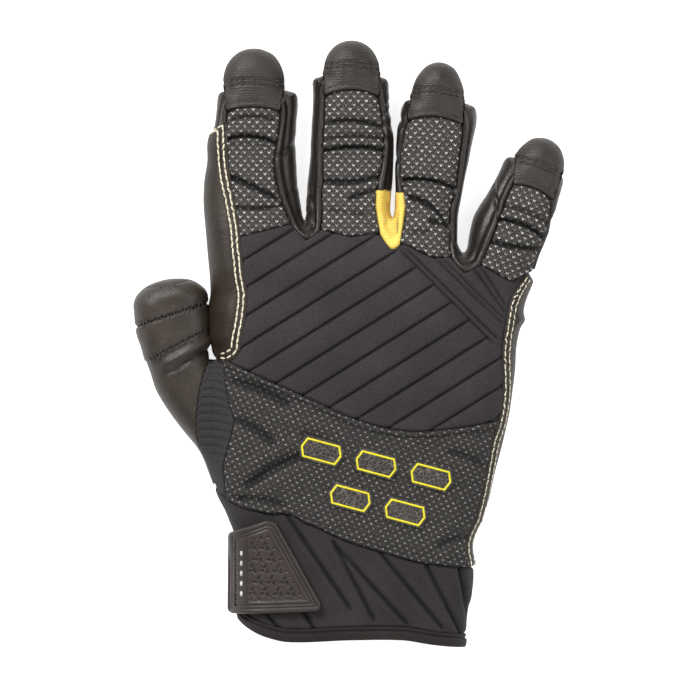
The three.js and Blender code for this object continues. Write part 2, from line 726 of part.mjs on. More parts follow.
const knuckleSeamPoints = knuckleSeamRows.map((row) => (
  { corner: row.corner, x: across(row.across), y: rise(row.up) }));
const knuckleSeam = brokenLine(knuckleSeamPoints);
function seamCorner(name) {
  const { x, y } = knuckleSeamPoints.find(({ corner }) => corner === name);
  return new THREE.Vector2(x, y);
}

// The strip round a crotch: down one finger's side, round the slit and up the next finger
function crotchTurns(crotch) {
  const [leftEnd, lowest, rightEnd] = crotch.seam.map(seamCorner);
  const [first, last] = [turns[0], turns[turns.length - 1]];
  return turns.map((k) => {
    const onV = k <= 0.5
      ? between(leftEnd, lowest, (k - first) / (0.5 - first))
      : between(lowest, rightEnd, (k - 0.5) / (last - 0.5));
    return stripSection(crotch.arc(k), onV, 2, undefined, 1.5 * seamGap);
  });
}
const downSide = (finger, to, count) => fingerSide(finger, 1, to, count).reverse();
const upSide = (finger, from, count) => fingerSide(finger, -1, from, count);

const glove = new THREE.Group();
const leather = { color: 0x453c36, roughness: 0.7 };
const mesh = { color: 0x4a4744, roughness: 0.85 };
const neoprene = { color: 0x3b373a, roughness: 0.9 };
const yellow = { color: 0xf0dc50, roughness: 0.8 };
const rubber = { color: 0x3a3634, roughness: 0.6 };
const tape = { color: 0x2c2425, roughness: 0.85 };
function addMesh(name, geometry, look) {
  const piece = new THREE.Mesh(geometry, new THREE.MeshStandardMaterial({ metalness: 0, ...look }));
  piece.name = name;
  glove.add(piece);
}

// Sides of the fingers
const { index, middle, ring, little } = fingers;
addMesh('index_outer_side', strip(fingerSide(index, -1, patchTop + clear(index), 3), leatherWall), leather);
addMesh('index_middle_side', strip([
  ...downSide(index, crotches[0].from, 7), ...crotchTurns(crotches[0]), ...upSide(middle, crotches[0].to, 7),
], leatherWall), leather);
addMesh('little_outer_side', strip(fingerSide(little, 1, 0.07, 6), leatherWall), leather);
addMesh('ring_little_side', strip([
  ...downSide(ring, crotches[2].from, 7), ...crotchTurns(crotches[2]), ...upSide(little, crotches[2].to, 6),
], leatherWall), leather);

// Between middle and ring finger the leather sides end at the yellow gusset
const gussetTop = { middle: 0.25, ring: 0.3 };
addMesh('middle_side', strip(downSide(middle, gussetTop.middle + clear(middle), 7), leatherWall), leather);
addMesh('ring_side', strip(upSide(ring, gussetTop.ring + clear(ring), 7), leatherWall), leather);
addMesh('crotch_gusset', strip([
  ...[gussetTop.middle, 0.21, 0.175, crotches[1].from].map((at) => (
    stripSection(sideBase(middle, at, 1), sideSeam(middle, at, 1), 2, undefined, seamGap))),
  ...crotchTurns(crotches[1]),
  ...[crotches[1].to, 0.24, 0.27, gussetTop.ring].map((at) => (
    stripSection(sideBase(ring, at, -1), sideSeam(ring, at, -1), 2, undefined, seamGap))),
], meshWall), yellow);

// Leather overlay from the index finger down to the thumb crotch
const patchEdge = curve(patchEdgeRows, 'up', 'across');
const patchSeam = (up) => new THREE.Vector2(across(patchEdge(up)), rise(up));
addMesh('index_side_patch', strip([
  ...[patchTop, 0.5, 0.4, 0.3, 0.2, 0.1].map((at) => (
    stripSection(sideBase(index, at, -1), sideSeam(index, at, -1), 4))),
  ...[1, 0.94, 0.87, 0.8, 0.73, 0.67, 0.62].map((up) => (
    stripSection(indexSide(Math.min(up, 0.94 + (up - 0.94) * 0.5)), patchSeam(up), 4))),
  stripSection(thumbCrotchArc(0.8), patchSeam(0.577), 4),
], leatherWall), leather);

// Leather strip down the outer edge of the hand
const stripDepth = curve(stripDepthRows, 'up', 'depth');
const handRight = (up) => littleSide(up).x - across(stripDepth(up));
const sideUps = [
  0.868, 0.845, 0.82, 0.78, 0.72, 0.62, 0.52, 0.42, 0.34, 0.26, 0.17, 0.08, 0, -0.1, -0.22, -0.35,
];
addMesh('hand_side_panel', strip(sideUps.map((up) => (
  stripSection(littleSide(up), new THREE.Vector2(handRight(up), rise(up))))), leatherWall), leather);

// Panel between four seams: left and right as x at a height, bottom and top as y at a place across.
// Columns are shares of the width, rows shares of the height.
function seamPanel({ left, right, bottom, top, columns, rows, relief = () => 0 }) {
  const grid = rows.map((v) => columns.map((u) => {
    let x = 0;
    let y = 0;
    for (let pass = 0; pass < 12; pass += 1) {
      y = mix(bottom(x), top(x), v);
      x = mix(left(y), right(y), u);
    }
    const skin = backSkin(x, y);
    skin.point.addScaledVector(skin.normal, relief(u, v));
    return skin;
  }));
  return sheetFromRows(grid);
}

// Backs of the fingers, with their folds
function fingerBack(finger, corners) {
  const local = (x, y) => {
    const dx = x - finger.root.x;
    const dy = y - finger.root.y;
    return { along: dx * finger.axis.x + dy * finger.axis.y, aside: dx * finger.side.x + dy * finger.side.y };
  };
  const seam = corners.map(seamCorner).map(({ x, y }) => local(x, y));
  const low = brokenLine(seam.map(({ along, aside }) => ({ x: aside, y: along + halfGap })));
  const first = seam[0].aside;
  const width = seam[seam.length - 1].aside - first;
  const columns = [];
  seam.slice(0, -1).forEach((point, i) => {
    const parts = seam.length > 2 ? 2 : 4;
    for (const k of steps(parts).slice(0, -1)) {
      columns.push((mix(point.aside, seam[i + 1].aside, k) - first) / width);
    }
  });
  columns.push(1);
  const marks = [0, ...finger.folds.flatMap(({ at }) => [-1, 0, 1].map((k) => (
    (at * finger.reach + k * foldReach) / (finger.capSeam * finger.reach)))), 1];
  const gaps = marks.slice(1).map((mark, i) => mark - marks[i]);
  const widest = Math.max(...gaps);
  const rows = marks.flatMap((mark, i) => (gaps[i] > widest * 0.6 ? [mark, mark + gaps[i] / 2] : [mark]));
  const grid = rows.map((v) => columns.map((u) => {
    let aside = 0;
    let along = 0;
    for (let pass = 0; pass < 12; pass += 1) {
      const arch = finger.seamArch * finger.reach * (1 - (2 * u - 1) ** 2);
      const high = finger.capSeam * finger.reach + arch - halfGap;
      along = mix(low(aside), high, v);
      const at = along / finger.reach;
      aside = mix(-finger.seamLeft(at) + halfGap, finger.seamRight(at) - halfGap, u);
    }
    const place = finger.place(along / finger.reach, aside);
    const skin = backSkin(place.x, place.y);
    const middleShare = 1 - (2 * u - 1) ** 4;
    for (const fold of finger.folds) {
      const k = (along - fold.at * finger.reach) / foldReach;
      skin.point.addScaledVector(skin.normal, -foldDepth * fold.depth * middleShare * Math.exp(-k * k * 2));
    }
    return skin;
  }));
  return wallFrom(sheetFromRows(grid), meshWall);
}
for (const name of Object.keys(fingers)) {
  const corners = ['left', 'centre', 'right'].map((end) => `${name}_${end}`);
  const onSeam = corners.filter((corner) => knuckleSeamRows.some((row) => row.corner === corner));
  addMesh(`${name}_back`, fingerBack(fingers[name], onSeam), mesh);
}

// One ring of a closed tip or sleeve: a rounded section across the finger at stations along it
const ringSides = 14;
function sectionPoint(frame, at, centre, half, angle, tipShare) {
  const place = frame.place(at, centre + half * Math.cos(angle));
  const high = crest(place.x, place.y);
  const mid = high * midShare;
  const q = quarter((half * (1 - Math.abs(Math.cos(angle)))) / Math.min(fingerRoll, half)) * tipShare;
  const z = Math.sin(angle) >= 0 ? mid + (high - mid) * q : mid * (1 - q);
  return { point: new THREE.Vector3(place.x, place.y, z) };
}
const ringAngles = Array.from({ length: ringSides }, (_, i) => (2 * Math.PI * i) / ringSides);
const tipRings = [0.25, 0.5, 0.72, 0.9];

// Closed leather fingertip: its lower edge runs between the ears and dips to the cap seam
function fingertip(finger) {
  const gap = clear(finger);
  const low = ringAngles.map((angle) => {
    const u = (1 - Math.cos(angle)) / 2;
    const at = finger.ear + 4 * gap;
    const outer = capOutline(finger, at);
    if (Math.abs(Math.sin(angle)) < 1e-6 || Math.sin(angle) < 0) {
      const up = Math.sin(angle) < -1e-6 ? at : finger.ear + earRise + 4 * gap;
      return sectionPoint(finger, up, outer.centre, outer.half, angle, 1);
    }
    const firstU = (1 - Math.cos(ringAngles[1])) / 2;
    const k = (u - firstU) / (1 - 2 * firstU);
    const arch = finger.seamArch * (1 - (2 * k - 1) ** 2);
    const seamAt = finger.capSeam + arch + gap;
    const right = finger.seamRight(seamAt) - seamGap;
    const left = -finger.seamLeft(seamAt) + seamGap;
    const place = finger.place(seamAt, mix(right, left, k));
    return backSkin(place.x, place.y);
  });
  const start = finger.ear + earRise + 4 * gap;
  const rings = [0, ...tipRings].map((k) => {
    const at = mix(start + 0.02, 1, k);
    const outer = capOutline(finger, at);
    const tipShare = quarter(((1 - at) * finger.reach) / (fingerRoll * 1.2));
    return ringAngles.map((angle) => sectionPoint(finger, at, outer.centre, outer.half, angle, tipShare));
  });
  const pole = [sectionPoint(finger, 1, capOutline(finger, 1).centre, 0.001, 0, 0)];
  return wallFrom(sheetFromRows([low, ...rings, pole], true), leatherWall);
}
for (const finger of Object.values(fingers)) addMesh(`${finger.name}_tip_cap`, fingertip(finger), leather);

// Thumb: a cap and a band as sleeves with slanted seams, and a base that runs into the hand
function thumbRing(low, high, offset, tipShare = 1) {
  return ringAngles.map((angle) => {
    let at = low;
    let outer = thumbOutline(at);
    for (let pass = 0; pass < 6; pass += 1) {
      const k = (1 + Math.cos(angle)) / 2;
      at = mix(low, high, k) + offset / thumbLength;
      outer = thumbOutline(at);
    }
    return sectionPoint(thumb, at, outer.centre, outer.half, angle, tipShare);
  });
}
const { bandLow, bandHigh, bandSlant } = thumbTable;
addMesh('thumb_band', wallFrom(sheetFromRows([
  thumbRing(bandLow, bandLow + bandSlant, halfGap),
  thumbRing(mix(bandLow, bandHigh, 0.5), mix(bandLow + bandSlant, bandHigh + bandSlant / 2, 0.5), 0),
  thumbRing(bandHigh, bandHigh + bandSlant / 2, -halfGap),
], true), leatherWall), leather);
addMesh('thumb_cap', wallFrom(sheetFromRows([
  thumbRing(bandHigh, bandHigh + bandSlant / 2, halfGap),
  ...[0.68, 0.8, 0.9, 0.965].map((at) => (
    thumbRing(at, at, 0, quarter(((1 - at) * thumbLength) / (fingerRoll * 1.1))))),
  [sectionPoint(thumb, 1, thumbOutline(1).centre, 0.001, 0, 0)],
], true), leatherWall), leather);

const gussetLeft = curve(gussetRows, 'up', 'left');
const gussetRight = curve(gussetRows, 'up', 'right');
const gussetSeam = (up) => new THREE.Vector2(across(gussetLeft(up)), rise(up));
const thumbSideBase = (at) => thumb.place(at, -thumb.left(at));
const thumbInnerSide = (at) => thumb.place(at, thumb.right(at));
const baseSections = [
  ...[0.15, 0.21, 0.27, 0.33, 0.39, 0.45, 0.5, 0.53].map((up) => (
    stripSection(thumbSide(Math.min(up, thumbSideEnd)), gussetSeam(up + 0.01), 4, undefined, seamGap))),
  stripSection(thumbSideBase(0.02), gussetSeam(0.56), 4, undefined, seamGap),
  stripSection(thumbSideBase(0.03), thumbInnerSide(0.04), 4),
  stripSection(
    thumbSideBase(bandLow - clear(thumb) / 2),
    thumbInnerSide(bandLow + bandSlant - clear(thumb)), 4,
  ),
];
addMesh('thumb_base', strip(baseSections, leatherWall), leather);

// Grooves pressed into the neoprene: each is a three-sided rod that follows the skin
function toSolid(geometry) {
  return new wasm.Manifold(new wasm.Mesh({
    numProp: 3,
    vertProperties: new Float32Array(geometry.attributes.position.array),
    triVerts: new Uint32Array(geometry.index.array),
  }));
}
function grooved(geometry, lines) {
  let solid = toSolid(geometry);
  for (const line of lines) solid = solid.subtract(toSolid(grooveRod(line)));
  const result = solid.getMesh();
  const cut = new THREE.BufferGeometry();
  cut.setAttribute('position', new THREE.Float32BufferAttribute(result.vertProperties, 3));
  cut.setIndex(Array.from(result.triVerts));
  return cut;
}
function grooveRod(line) {
  const points = [];
  const faces = [];
  line.forEach((p, i) => {
    const { point, normal } = backSkin(p.x, p.y);
    const before = line[Math.max(0, i - 1)];
    const after = line[Math.min(line.length - 1, i + 1)];
    const along = new THREE.Vector3(after.x - before.x, after.y - before.y, 0).normalize();
    const sideways = new THREE.Vector3().crossVectors(normal, along).normalize();
    const top = point.clone().addScaledVector(normal, ribDepth);
    points.push(
      top.clone().addScaledVector(sideways, ribWidth),
      top.clone().addScaledVector(sideways, -ribWidth),
      point.clone().addScaledVector(normal, -ribDepth),
    );
    if (i > 0) {
      const a = 3 * (i - 1);
      for (const k of [0, 1, 2]) {
        const n = (k + 1) % 3;
        faces.push([a + k, a + n, a + 3 + n], [a + k, a + 3 + n, a + 3 + k]);
      }
    }
  });
  const end = points.length - 3;
  faces.push([0, 2, 1], [end, end + 1, end + 2]);
  return closedGeometry(points, faces);
}
function straightLine(from, to, count) {
  return steps(count).map((k) => new THREE.Vector2(mix(from.x, to.x, k), mix(from.y, to.y, k)));
}
const planPoint = (share, up) => new THREE.Vector2(across(share), rise(up));

const grooveLine = (row) => straightLine(
  planPoint(row.across, row.up), planPoint(row.toAcross, row.toUp), row.parts);

// Ribs rise towards the little finger's side and stop at a slanted line over the knuckles
function backGrooves() {
  const slope = Math.tan(ribAngle);
  const stop = { from: planPoint(ribStop.across, ribStop.up), to: planPoint(ribStop.toAcross, ribStop.toUp) };
  const stopY = (x) => mix(stop.from.y, stop.to.y, (x - stop.from.x) / (stop.to.x - stop.from.x));
  const onPanel = ({ x, y }) => (
    y > backSeam(x) - halfGap && y < knuckleSeam(x) + halfGap && x > patchLine(y) - 1
      && (x < stop.from.x || y < stopY(x)));
  const ribs = Array.from({ length: ribStart.count }, (_, i) => {
    const startY = rise(ribStart.up) - (i * ribPitch) / Math.cos(ribAngle);
    return steps(40).map((k) => {
      const x = mix(across(ribSpan.from), across(ribSpan.to), k);
      return new THREE.Vector2(x, startY + slope * (x - across(ribStart.across)));
    }).filter(onPanel);
  });
  const long = ribs.filter((line) => line.length > 3);
  return [
    ...long.map((line) => straightLine(line[0], line[line.length - 1], 8)),
    ...backGrooveRows.map(grooveLine),
  ];
}

// Panels of the back of the hand
const backSeamAcross = curve(backSeamRows, 'across', 'up');
const cuffSeamAcross = curve(cuffSeamRows, 'across', 'up');
const palmSeamAcross = curve(palmSeamRows, 'across', 'up');
const mouthAcross = curve(mouthRows, 'across', 'up');
const backSeam = (x) => rise(backSeamAcross(x / handWidth));
const cuffSeam = (x) => rise(cuffSeamAcross(x / handWidth));
const palmSeam = (x) => rise(palmSeamAcross(x / handWidth));
const mouth = (x) => rise(mouthAcross(x / handWidth));
const upOf = (y) => (y < cuffLength ? y / cuffLength - 1 : (y - cuffLength) / palmLength);
const patchLine = (y) => across(patchEdge(upOf(y))) + halfGap;
const stripLine = (y) => handRight(upOf(y)) - halfGap;

const panelColumns = knuckleSeamPoints.flatMap(({ x, y }, i) => {
  const share = (x - patchLine(y - halfGap)) / (stripLine(y - halfGap) - patchLine(y - halfGap));
  return i === 0 ? [0] : i === knuckleSeamPoints.length - 1 ? [1] : [share];
});
const backSheet = seamPanel({
  left: patchLine, right: stripLine,
  bottom: (x) => backSeam(x) + halfGap, top: (x) => knuckleSeam(x) - halfGap,
  columns: panelColumns, rows: [0, 0.14, 0.28, 0.42, 0.56, 0.68, 0.79, 0.9, 1],
});
addMesh('back_panel', grooved(wallFrom(backSheet, neopreneWall), backGrooves()), neoprene);

const meshLine = (y) => across(gussetRight(upOf(y))) + halfGap;
addMesh('hand_mesh_panel', wallFrom(seamPanel({
  left: meshLine, right: stripLine,
  bottom: (x) => cuffSeam(x) + seamGap, top: (x) => backSeam(x) - halfGap,
  columns: steps(10), rows: steps(9),
}), meshWall), mesh);

const gussetRibs = Math.round((gussetRows[0].up - gussetRows[5].up) * palmLength / 3);
addMesh('thumb_gusset', wallFrom(seamPanel({
  left: (y) => across(gussetLeft(upOf(y))) + halfGap, right: (y) => across(gussetRight(upOf(y))) - seamGap,
  bottom: (x) => cuffSeam(x) + seamGap, top: () => rise(gussetRows[0].up),
  columns: steps(4), rows: steps(gussetRibs * 2),
  relief: (u, v) => (Math.round(v * gussetRibs * 2) % 2 === 0 ? -ribDepth / 2 : 0),
}), neopreneWall), neoprene);

// Closed sleeve round the wrist, between two heights given for the back and for the palm side
const sleeveSides = 26;
function wristRow(back, palm) {
  return Array.from({ length: sleeveSides }, (_, i) => {
    const angle = (2 * Math.PI * i) / sleeveSides;
    const level = Math.sin(angle) < -1e-6 ? palm : back;
    let y = cuffLength / 2;
    let x = 0;
    for (let pass = 0; pass < 12; pass += 1) {
      const left = thumbSide(upOf(y)).x;
      const right = littleSide(upOf(y)).x;
      x = mix(left, right, (1 + Math.cos(angle)) / 2);
      y = level(x);
    }
    return Math.sin(angle) < -1e-6 ? palmSkin(x, y) : backSkin(x, y);
  });
}
const bindTop = (x) => mouth(x) + bindingHeight;
const cuffRows = steps(3).map((k) => wristRow(
  (x) => mix(bindTop(x) + halfGap, cuffSeam(x) - halfGap, k),
  (x) => mix(bindTop(x) + halfGap, palmSeam(x) - halfGap, k),
));
const sleeve = wallFrom(sheetFromRows(cuffRows, true), neopreneWall);
addMesh('cuff_sleeve', grooved(sleeve, cuffGrooveRows.map(grooveLine)), neoprene);
const bindingRows = steps(1).map((k) => {
  const level = (x) => mix(mouth(x), bindTop(x) - halfGap, k);
  return wristRow(level, level);
});
addMesh('cuff_binding', wallFrom(sheetFromRows(bindingRows, true), bindingWall), tape);

// Palm: rolled edges along the outline, and one flat sheet that rests on the surface
function palmPanel() {
  const edgeRows = [palmEdgeAngle + seamGap / fingerRoll, palmRollAngle, Math.PI / 2];
  const rollAt = (base) => edgeRows.map((angle) => {
    const p = palmEdge(base, angle);
    return palmSkin(p.x, p.y);
  });
  const endAt = (frame, width, sign, atOf) => edgeRows.map((angle) => {
    const aside = sign * (width - fingerRoll * (1 - Math.cos(angle)));
    const p = frame.place(atOf(aside), aside);
    return palmSkin(p.x, p.y);
  });
  const fingerEnd = (finger, sign) => {
    const at = finger.ear - 2 * clear(finger);
    return endAt(finger, sign < 0 ? finger.left(at) : finger.right(at), sign, () => at);
  };
  const bandLine = (aside) => {
    const left = thumb.left(bandLow);
    const right = thumb.right(bandLow + bandSlant);
    return bandLow - clear(thumb) + (bandSlant * (aside + left)) / (left + right);
  };
  const upFinger = (finger, from) => [
    ...steps(5).slice(0, -1).map((k) => sideBase(finger, mix(from, finger.ear, k), -1)),
    fingerEnd(finger, -1),
  ];
  const downFinger = (finger, to) => [
    fingerEnd(finger, 1), ...steps(5).slice(1).map((k) => sideBase(finger, mix(finger.ear, to, k), 1))];
  const turn = (crotch) => turns.map((k) => crotch.arc(k));
  const stretches = [
    [...[0.14, 0.2, 0.28, 0.36, 0.44, 0.52].map(thumbSide), endAt(thumb, thumb.left(bandLow), -1, bandLine)],
    [
      endAt(thumb, thumb.right(bandLow + bandSlant), 1, bandLine), thumbInnerSide(0.1), thumbInnerSide(0),
      ...[0.3, 0.5, 0.7].map(thumbCrotchArc), ...[0.6, 0.7, 0.8, 0.9].map(indexSide), ...upFinger(index, 0.1),
    ],
    [...downFinger(index, crotches[0].from), ...turn(crotches[0]), ...upFinger(middle, crotches[0].to)],
    [...downFinger(middle, crotches[1].from), ...turn(crotches[1]), ...upFinger(ring, crotches[1].to)],
    [...downFinger(ring, crotches[2].from), ...turn(crotches[2]), ...upFinger(little, crotches[2].to)],
    [
      ...downFinger(little, 0.1),
      ...[0.84, 0.75, 0.65, 0.5, 0.35, 0.2, 0.08, -0.04, -0.16, -0.32].map(littleSide),
    ],
  ];
  const skin = [];
  const faces = [];
  const rim = [];
  for (const stretch of stretches) {
    const start = skin.length;
    stretch.forEach((base) => skin.push(...(Array.isArray(base) ? base : rollAt(base))));
    stretch.forEach((_, i) => rim.push(start + 3 * i + 2));
    for (let i = 0; i + 1 < stretch.length; i += 1) {
      for (const row of [0, 1]) {
        const a = start + 3 * i + row;
        faces.push([a, a + 1, a + 4], [a, a + 4, a + 3]);
      }
    }
  }
  const right = skin[rim[rim.length - 1]].point.x;
  const left = skin[rim[0]].point.x;
  const cuffTop = cuffRows[cuffRows.length - 1].slice(sleeveSides / 2).reverse();
  for (const { point: { x } } of cuffTop.filter(({ point }) => point.x > left + 2 && point.x < right - 2)) {
    rim.push(skin.length);
    skin.push(palmSkin(x, palmSeam(x) + halfGap));
  }
  const contour = rim.map((i) => new THREE.Vector2(skin[i].point.x, skin[i].point.y));
  for (const face of THREE.ShapeUtils.triangulateShape(contour, [])) faces.push(face.map((i) => rim[i]));
  const seenFromAbove = faces.map(([a, b, c]) => {
    const [p, q, r] = [a, b, c].map((i) => skin[i].point);
    const area = (q.x - p.x) * (r.y - p.y) - (q.y - p.y) * (r.x - p.x);
    return area > 0 ? [a, b, c] : [a, c, b];
  });
  return wallFrom({ skin, faces: seenFromAbove }, leatherWall);
}
addMesh('palm_panel', palmPanel(), leather);

// Strap round the thumb side of the wrist, and its moulded tab on the back of the cuff
addMesh('wrist_strap', strip(strapRows.map((row) => (
  stripSection(thumbSide(row.up), planPoint(row.across, row.up), 6)
)), strapWall, strapLift), rubber);
addMesh('strap_tab', wallFrom(sheetFromRows(tabRows.map(({ up, edge, left, right }) => {
  const from = edge ? thumbSide(up) : planPoint(left, up);
  const to = planPoint(right, up);
  return steps(5).map((k) => between(from, to, rollShare(mix(0.1, 1, k)))).map((p) => backSkin(p.x, p.y));
})), tabWall, tabLift), rubber);

// Pads: a plate tapers towards its long edges
for (const { name, across: place, up } of padTable) {
  const rows = [-1, 0, 1].map((v) => [-1, -0.5, 0, 0.5, 1].map((u) => {
    const reach = 1 - padTaper * Math.abs(v);
    const px = (u * padLength * reach) / 2;
    const py = (v * padHeight) / 2;
    const x = across(place) + px * Math.cos(padTilt) - py * Math.sin(padTilt);
    const y = rise(up) + px * Math.sin(padTilt) + py * Math.cos(padTilt);
    return backSkin(x, y);
  }));
  addMesh(name, wallFrom(sheetFromRows(rows), padWall, padWall + seamGap), rubber);
}

// Moves the origin under the middle of the plan, on the surface that the glove lies on
const xs = outline.map((point) => point.x);
glove.position.x = -(Math.min(...xs) + Math.max(...xs)) / 2;
glove.position.y = -(knuckleLine + fingerLength) / 2;

export default glove;
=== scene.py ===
# %% [markdown]
# # A sailing glove in Blender
# This glove is sewn from many flat pieces: leather under the hand and on the fingertips, mesh on the
# backs of the fingers, ribbed neoprene over the knuckles and round the wrist. Here each sewn piece is
# one surface worked out with numpy. All of them lie on one common skin, so their edges meet at the
# seams. Sizes are in millimetres until a mesh is made.

import math

import bpy
import numpy as np
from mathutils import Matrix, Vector


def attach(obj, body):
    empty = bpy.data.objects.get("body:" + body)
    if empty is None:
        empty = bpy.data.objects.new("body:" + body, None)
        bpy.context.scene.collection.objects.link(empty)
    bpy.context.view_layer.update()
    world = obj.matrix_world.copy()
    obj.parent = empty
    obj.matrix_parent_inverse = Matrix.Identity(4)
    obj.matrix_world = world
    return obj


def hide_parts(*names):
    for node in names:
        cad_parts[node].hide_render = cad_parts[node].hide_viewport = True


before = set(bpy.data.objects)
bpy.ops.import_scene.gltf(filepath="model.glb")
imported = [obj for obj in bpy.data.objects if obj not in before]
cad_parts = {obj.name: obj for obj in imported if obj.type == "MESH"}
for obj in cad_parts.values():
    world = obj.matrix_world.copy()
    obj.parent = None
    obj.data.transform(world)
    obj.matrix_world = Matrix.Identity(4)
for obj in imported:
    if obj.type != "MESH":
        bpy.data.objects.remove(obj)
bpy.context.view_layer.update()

# %% [markdown]
# ## Sizes and small helpers
# The sizes are the same as in the solid model. A table gives shares of them, and `curve` draws a
# smooth line through a table's rows: each stretch is a cubic whose slope at a row is the slope
# between the rows on either side.

# %% Sizes
HAND_WIDTH, PALM_LENGTH, FINGER_LENGTH, CUFF_LENGTH = 115.2, 101.5, 72.0, 45.4
THUMB_REACH, THUMB_LENGTH = 29.5, 30.0
PALM_HEIGHT, FINGER_HEIGHT, THUMB_HEIGHT, CUFF_HEIGHT = 24.0, 15.5, 17.0, 22.0
FINGER_ROLL, HAND_ROLL = 8.0, 11.0
MID_SHARE, CROWN_SHARE = 0.42, 0.12
KNUCKLES = CUFF_LENGTH + PALM_LENGTH
HAND_EDGE = -0.427 * HAND_WIDTH
PALM_EDGE = math.radians(38)
SEAM_GAP, STRAP_WALL, TAB_WALL = 0.32, 0.9, 1.7
STRAP_LIFT = 1.6 * SEAM_GAP + STRAP_WALL
TAB_LIFT = STRAP_LIFT + 1.5 * SEAM_GAP + TAB_WALL
TUCK, LOWEST, TINY = 0.12, 0.02, 1e-9
LEATHER_WALL, PATCH_WALL, MESH_WALL, NEOPRENE_WALL, TAPE_WALL = 1.2, 1.3, 1.3, 1.9, 2.4
PAD_WALL, PAD_RIM_WALL, CAP_LIP = 1.0, 0.5, 1.2
ROUNDS = 14


def mix(a, b, k):
    return a + (b - a) * k


def steps(count):
    return np.linspace(0, 1, count + 1)


def smooth(k):
    c = np.clip(k, 0, 1)
    return c * c * (3 - 2 * c)


def peak(distance, width):
    """A smooth peak: 1 at distance 0, gone after about two widths."""
    return np.exp(-((distance / width) ** 2))


def arched(u):
    """0 at both ends of a row and 1 half way."""
    return 1 - (2 * u - 1) ** 2


def rise(up):
    """Height along the hand: 0 is the cuff seam, 1 the knuckles, -1 the cuff's mouth."""
    up = np.asarray(up, float)
    return np.where(up < 0, CUFF_LENGTH * (1 + up), CUFF_LENGTH + up * PALM_LENGTH)


def up_of(y):
    y = np.asarray(y, float)
    return np.where(y < CUFF_LENGTH, y / CUFF_LENGTH - 1, (y - CUFF_LENGTH) / PALM_LENGTH)


def across(share):
    return np.asarray(share, float) * HAND_WIDTH


def curve(xs, ys):
    """Smooth line through table rows, straight beyond its ends."""
    xs, ys = np.asarray(xs, float), np.asarray(ys, float)
    if xs[0] > xs[-1]:
        xs, ys = xs[::-1], ys[::-1]
    last = len(xs) - 1
    low, high = np.maximum(np.arange(last + 1) - 1, 0), np.minimum(np.arange(last + 1) + 1, last)
    slope = (ys[high] - ys[low]) / (xs[high] - xs[low])

    def at(x):
        x = np.asarray(x, float)
        i = np.clip(np.searchsorted(xs, x) - 1, 0, last - 1)
        span = xs[i + 1] - xs[i]
        k = np.clip((x - xs[i]) / span, 0, 1)
        y = (2 * k**3 - 3 * k**2 + 1) * ys[i] + (k**3 - 2 * k**2 + k) * span * slope[i]
        y = y + (3 * k**2 - 2 * k**3) * ys[i + 1] + (k**3 - k**2) * span * slope[i + 1]
        return y + slope[0] * np.minimum(x - xs[0], 0) + slope[-1] * np.maximum(x - xs[-1], 0)

    return at


def columns(rows, scale=1.0):
    """Curves from a table: the first column is where, each other column a share of the scale."""
    table = np.array(rows, float)
    return [curve(table[:, 0], table[:, j] * scale) for j in range(1, table.shape[1])]


# %% [markdown]
# ## The outline
# Each finger is a frame: a root, a direction and a length, with half widths at stations along it.
# The two inner columns are the seams between the mesh on the finger's back and the leather sides.
# The outline runs round thumb, fingers and cuff as one dense line.

# %% Fingers and thumb
FINGERS = {
    "index": dict(
        root=-0.3047, drop=0, length=0.96, lean=0.3,
        ear=0.77, cap=(0.1, 0.1), dome=1.03, seam=0.665, arch=0.02,
        rows=[
            (0.08, 0.144, 0.158, 0.049, 0.1185), (0.2, 0.15, 0.147, 0.0625, 0.0875),
            (0.3, 0.147, 0.1375, 0.075, 0.071),
            (0.4, 0.139, 0.134, 0.0825, 0.0644), (0.5, 0.139, 0.13, 0.086, 0.0734),
            (0.6, 0.123, 0.133, 0.086, 0.083),
            (0.7, 0.116, 0.1375, 0.083, 0.085), (0.77, 0.1145, 0.1375, 0.084, 0.086),
        ],
    ),
    "middle": dict(
        root=-0.0047, drop=0, length=1, lean=0.6,
        ear=0.81, cap=(0.091, 0.097), dome=1.15, seam=0.715, arch=0.03,
        rows=[
            (0.08, 0.133, 0.13, 0.085, 0.087), (0.2, 0.1325, 0.13, 0.0856, 0.083),
            (0.3, 0.13, 0.1356, 0.083, 0.093),
            (0.4, 0.124, 0.1375, 0.084, 0.103), (0.5, 0.122, 0.1375, 0.0845, 0.106),
            (0.6, 0.119, 0.1265, 0.082, 0.1),
            (0.7, 0.117, 0.1206, 0.081, 0.09), (0.81, 0.12, 0.12, 0.08, 0.086),
        ],
    ),
    "ring": dict(
        root=0.2344, drop=0.0426, length=0.9535, lean=4.96,
        ear=0.785, cap=(0.094, 0.088), dome=1.55, seam=0.675,
        arch=0.03,
        rows=[
            (0.02, 0.1047, 0.1, 0.07, 0.0775), (0.2, 0.106, 0.0938, 0.076, 0.0656),
            (0.3, 0.109, 0.099, 0.088, 0.0745),
            (0.4, 0.115, 0.1047, 0.099, 0.0795), (0.5, 0.117, 0.1125, 0.103, 0.082),
            (0.6, 0.1197, 0.1188, 0.099, 0.0845),
            (0.7, 0.1134, 0.126, 0.088, 0.082), (0.785, 0.109, 0.122, 0.083, 0.081),
        ],
    ),
    "little": dict(
        root=0.464, drop=0.1135, length=0.7105, lean=20.6, ear=0.786, cap=(0.083, 0.086), dome=1.2, seam=0.6,
        arch=0.03,
        rows=[
            (0.05, 0.115, 0.103, 0.0594, 0.094), (0.2, 0.128, 0.1, 0.0553, 0.0906),
            (0.3, 0.133, 0.1025, 0.0547, 0.093),
            (0.4, 0.125, 0.1016, 0.056, 0.092), (0.5, 0.1156, 0.1, 0.0584, 0.086),
            (0.6, 0.109, 0.098, 0.055, 0.079),
            (0.7, 0.106, 0.095, 0.0588, 0.074), (0.786, 0.105, 0.092, 0.0625, 0.07),
        ],
    ),
}
